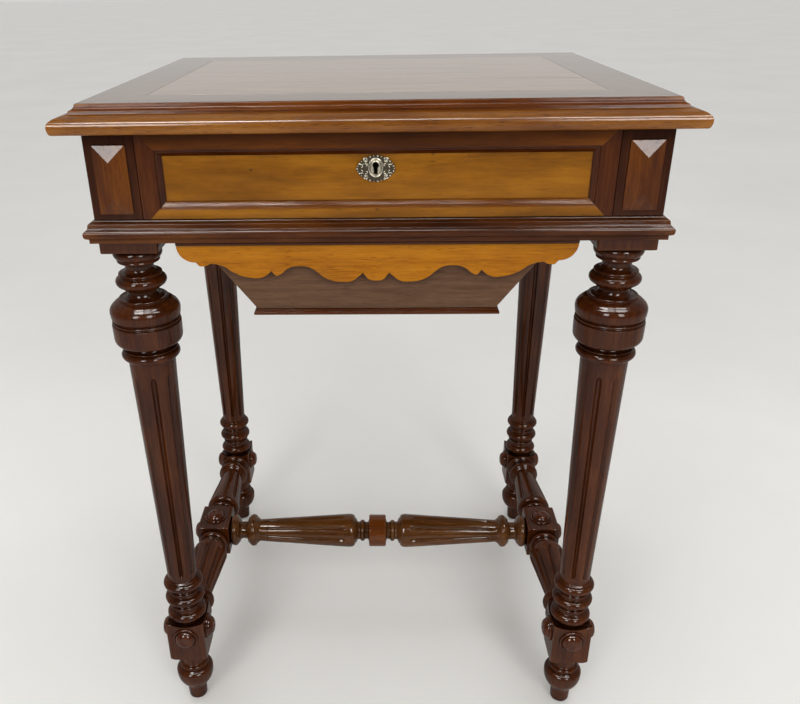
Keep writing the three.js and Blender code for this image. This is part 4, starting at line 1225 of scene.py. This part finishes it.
def make_escutcheon():
    low, high = span("escutcheon")
    middle_z = (low.z + high.z) / 2
    half_u, half_v = 18.2, 12.4
    key_v = KEYHOLE_Z - middle_z
    hole = [(u, v + key_v) for u, v in keyhole_outline(2.9, 1.7, 7.8)]

    def rim(angle, share=1.0, scallop=0.0):
        across, upward = abs(math.cos(angle)), abs(math.sin(angle))
        reach = share * (across ** 1.7 + upward ** 1.7) ** (-1 / 1.7)
        reach *= 1 - scallop * abs(math.sin(15 * angle))
        return (half_u * reach * math.cos(angle), half_v * reach * math.sin(angle))

    outer = [rim(angle, 0.985, 0.05) for angle in angles_round(132)]
    place = on_face(0, middle_z)
    lift = PANEL_FACE - 0.3
    plate_points, plate_faces = flat_curve([outer, hole], 0.6, 0.12)
    plate_points = [place(u, v, lift - w - 0.45) for u, v, w in plate_points]
    piece("escutcheon_plate", (plate_points, plate_faces), "patina", node_name="escutcheon")

    parts = []
    for i, angle in enumerate(angles_round(30)):
        parts.append(dome(*rim(angle, 0.94), 0.7, 1.0 if i % 2 else 0.75, 0.9))
    for sx, sv, u, v in ((-1, 1, 9.4, 7.6), (1, 1, 9.8, 7.6), (-1, -1, 9.2, 7.2), (1, -1, 9.8, 7.0)):
        parts.append(curl(sx, sv, u, v, 2.3, 0.4, 5.6))
        parts.append(dome(sx * u, sv * v, 0.7, 1.0, 1.1, 5, 16))
        parts.append(curl(sx, sv, 13.2, 2.4, 1.9, 0.36, 4.2))
        parts.append(curl(sx, sv, 8.6, 3.2, 1.5, 0.32, 4.4))
        parts.append(dome(sx * 11.2, sv * 4.4, 0.7, 0.6, 0.7, 4, 12))
    key_shift = 1.0
    for reach_u, reach_v, thick in ((6.5, 8.5, 0.42), (5.6, 7.6, 0.3)):
        ring = [(reach_u * math.cos(a), key_shift + reach_v * math.sin(a), 0.95) for a in angles_round(48)]
        parts.append(cord(ring, thick, True))
    parts.append(collar(5.3, 7.3, key_shift, hole))
    points, faces = join_parts(parts)
    points = [place(u, v, lift - w) for u, v, w in points]
    piece("escutcheon_relief", (points, faces), "pewter", node_name="escutcheon")


def curl(sx, sv, u, v, size, thick, sweep):
    """A C-scroll that winds inwards round (u, v), mirrored by sx and sv."""
    path = []
    for k in range(15):
        t = k / 14
        reach = size * (1 - 0.5 * t)
        angle = 0.5 + sweep * t
        path.append((sx * (u + reach * math.cos(angle)), sv * (v + reach * math.sin(angle)), 0.9))
    return cord(path, thick, False)


def collar(half_u, half_v, shift, hole):
    """The raised oval round the keyhole: domed rings that run from the oval in to the keyhole."""
    stops = ((0.0, 0.6), (0.06, 1.15), (0.3, 1.75), (0.6, 1.95), (0.85, 1.75), (1.0, 1.3), (1.0, 0.2))
    rings = []
    for share, height in stops:
        ring = []
        for u, v in resample(hole, 72):
            a = math.atan2(v - shift, u)
            outer_u, outer_v = half_u * math.cos(a), shift + half_v * math.sin(a)
            ring.append((outer_u + (u - outer_u) * share, outer_v + (v - outer_v) * share, height))
        rings.append(ring)
    return loft(rings, joined=True)


def resample(loop, count):
    """Evenly spaced points round a closed outline."""
    closed = [Vector(p) for p in loop] + [Vector(loop[0])]
    lengths = [(b - a).length for a, b in zip(closed, closed[1:])]
    total = sum(lengths)
    made = []
    for i in range(count):
        left = total * i / count
        k = 0
        while left > lengths[k]:
            left -= lengths[k]
            k += 1
        made.append(tuple(closed[k].lerp(closed[k + 1], left / lengths[k])))
    return made


make_camera()
FINISH = make_finishes()
make_stage()
make_lid()
make_frieze()
make_plain_boards()
make_hinges()
make_escutcheon()
make_legs()
make_stretchers()
make_workbox()
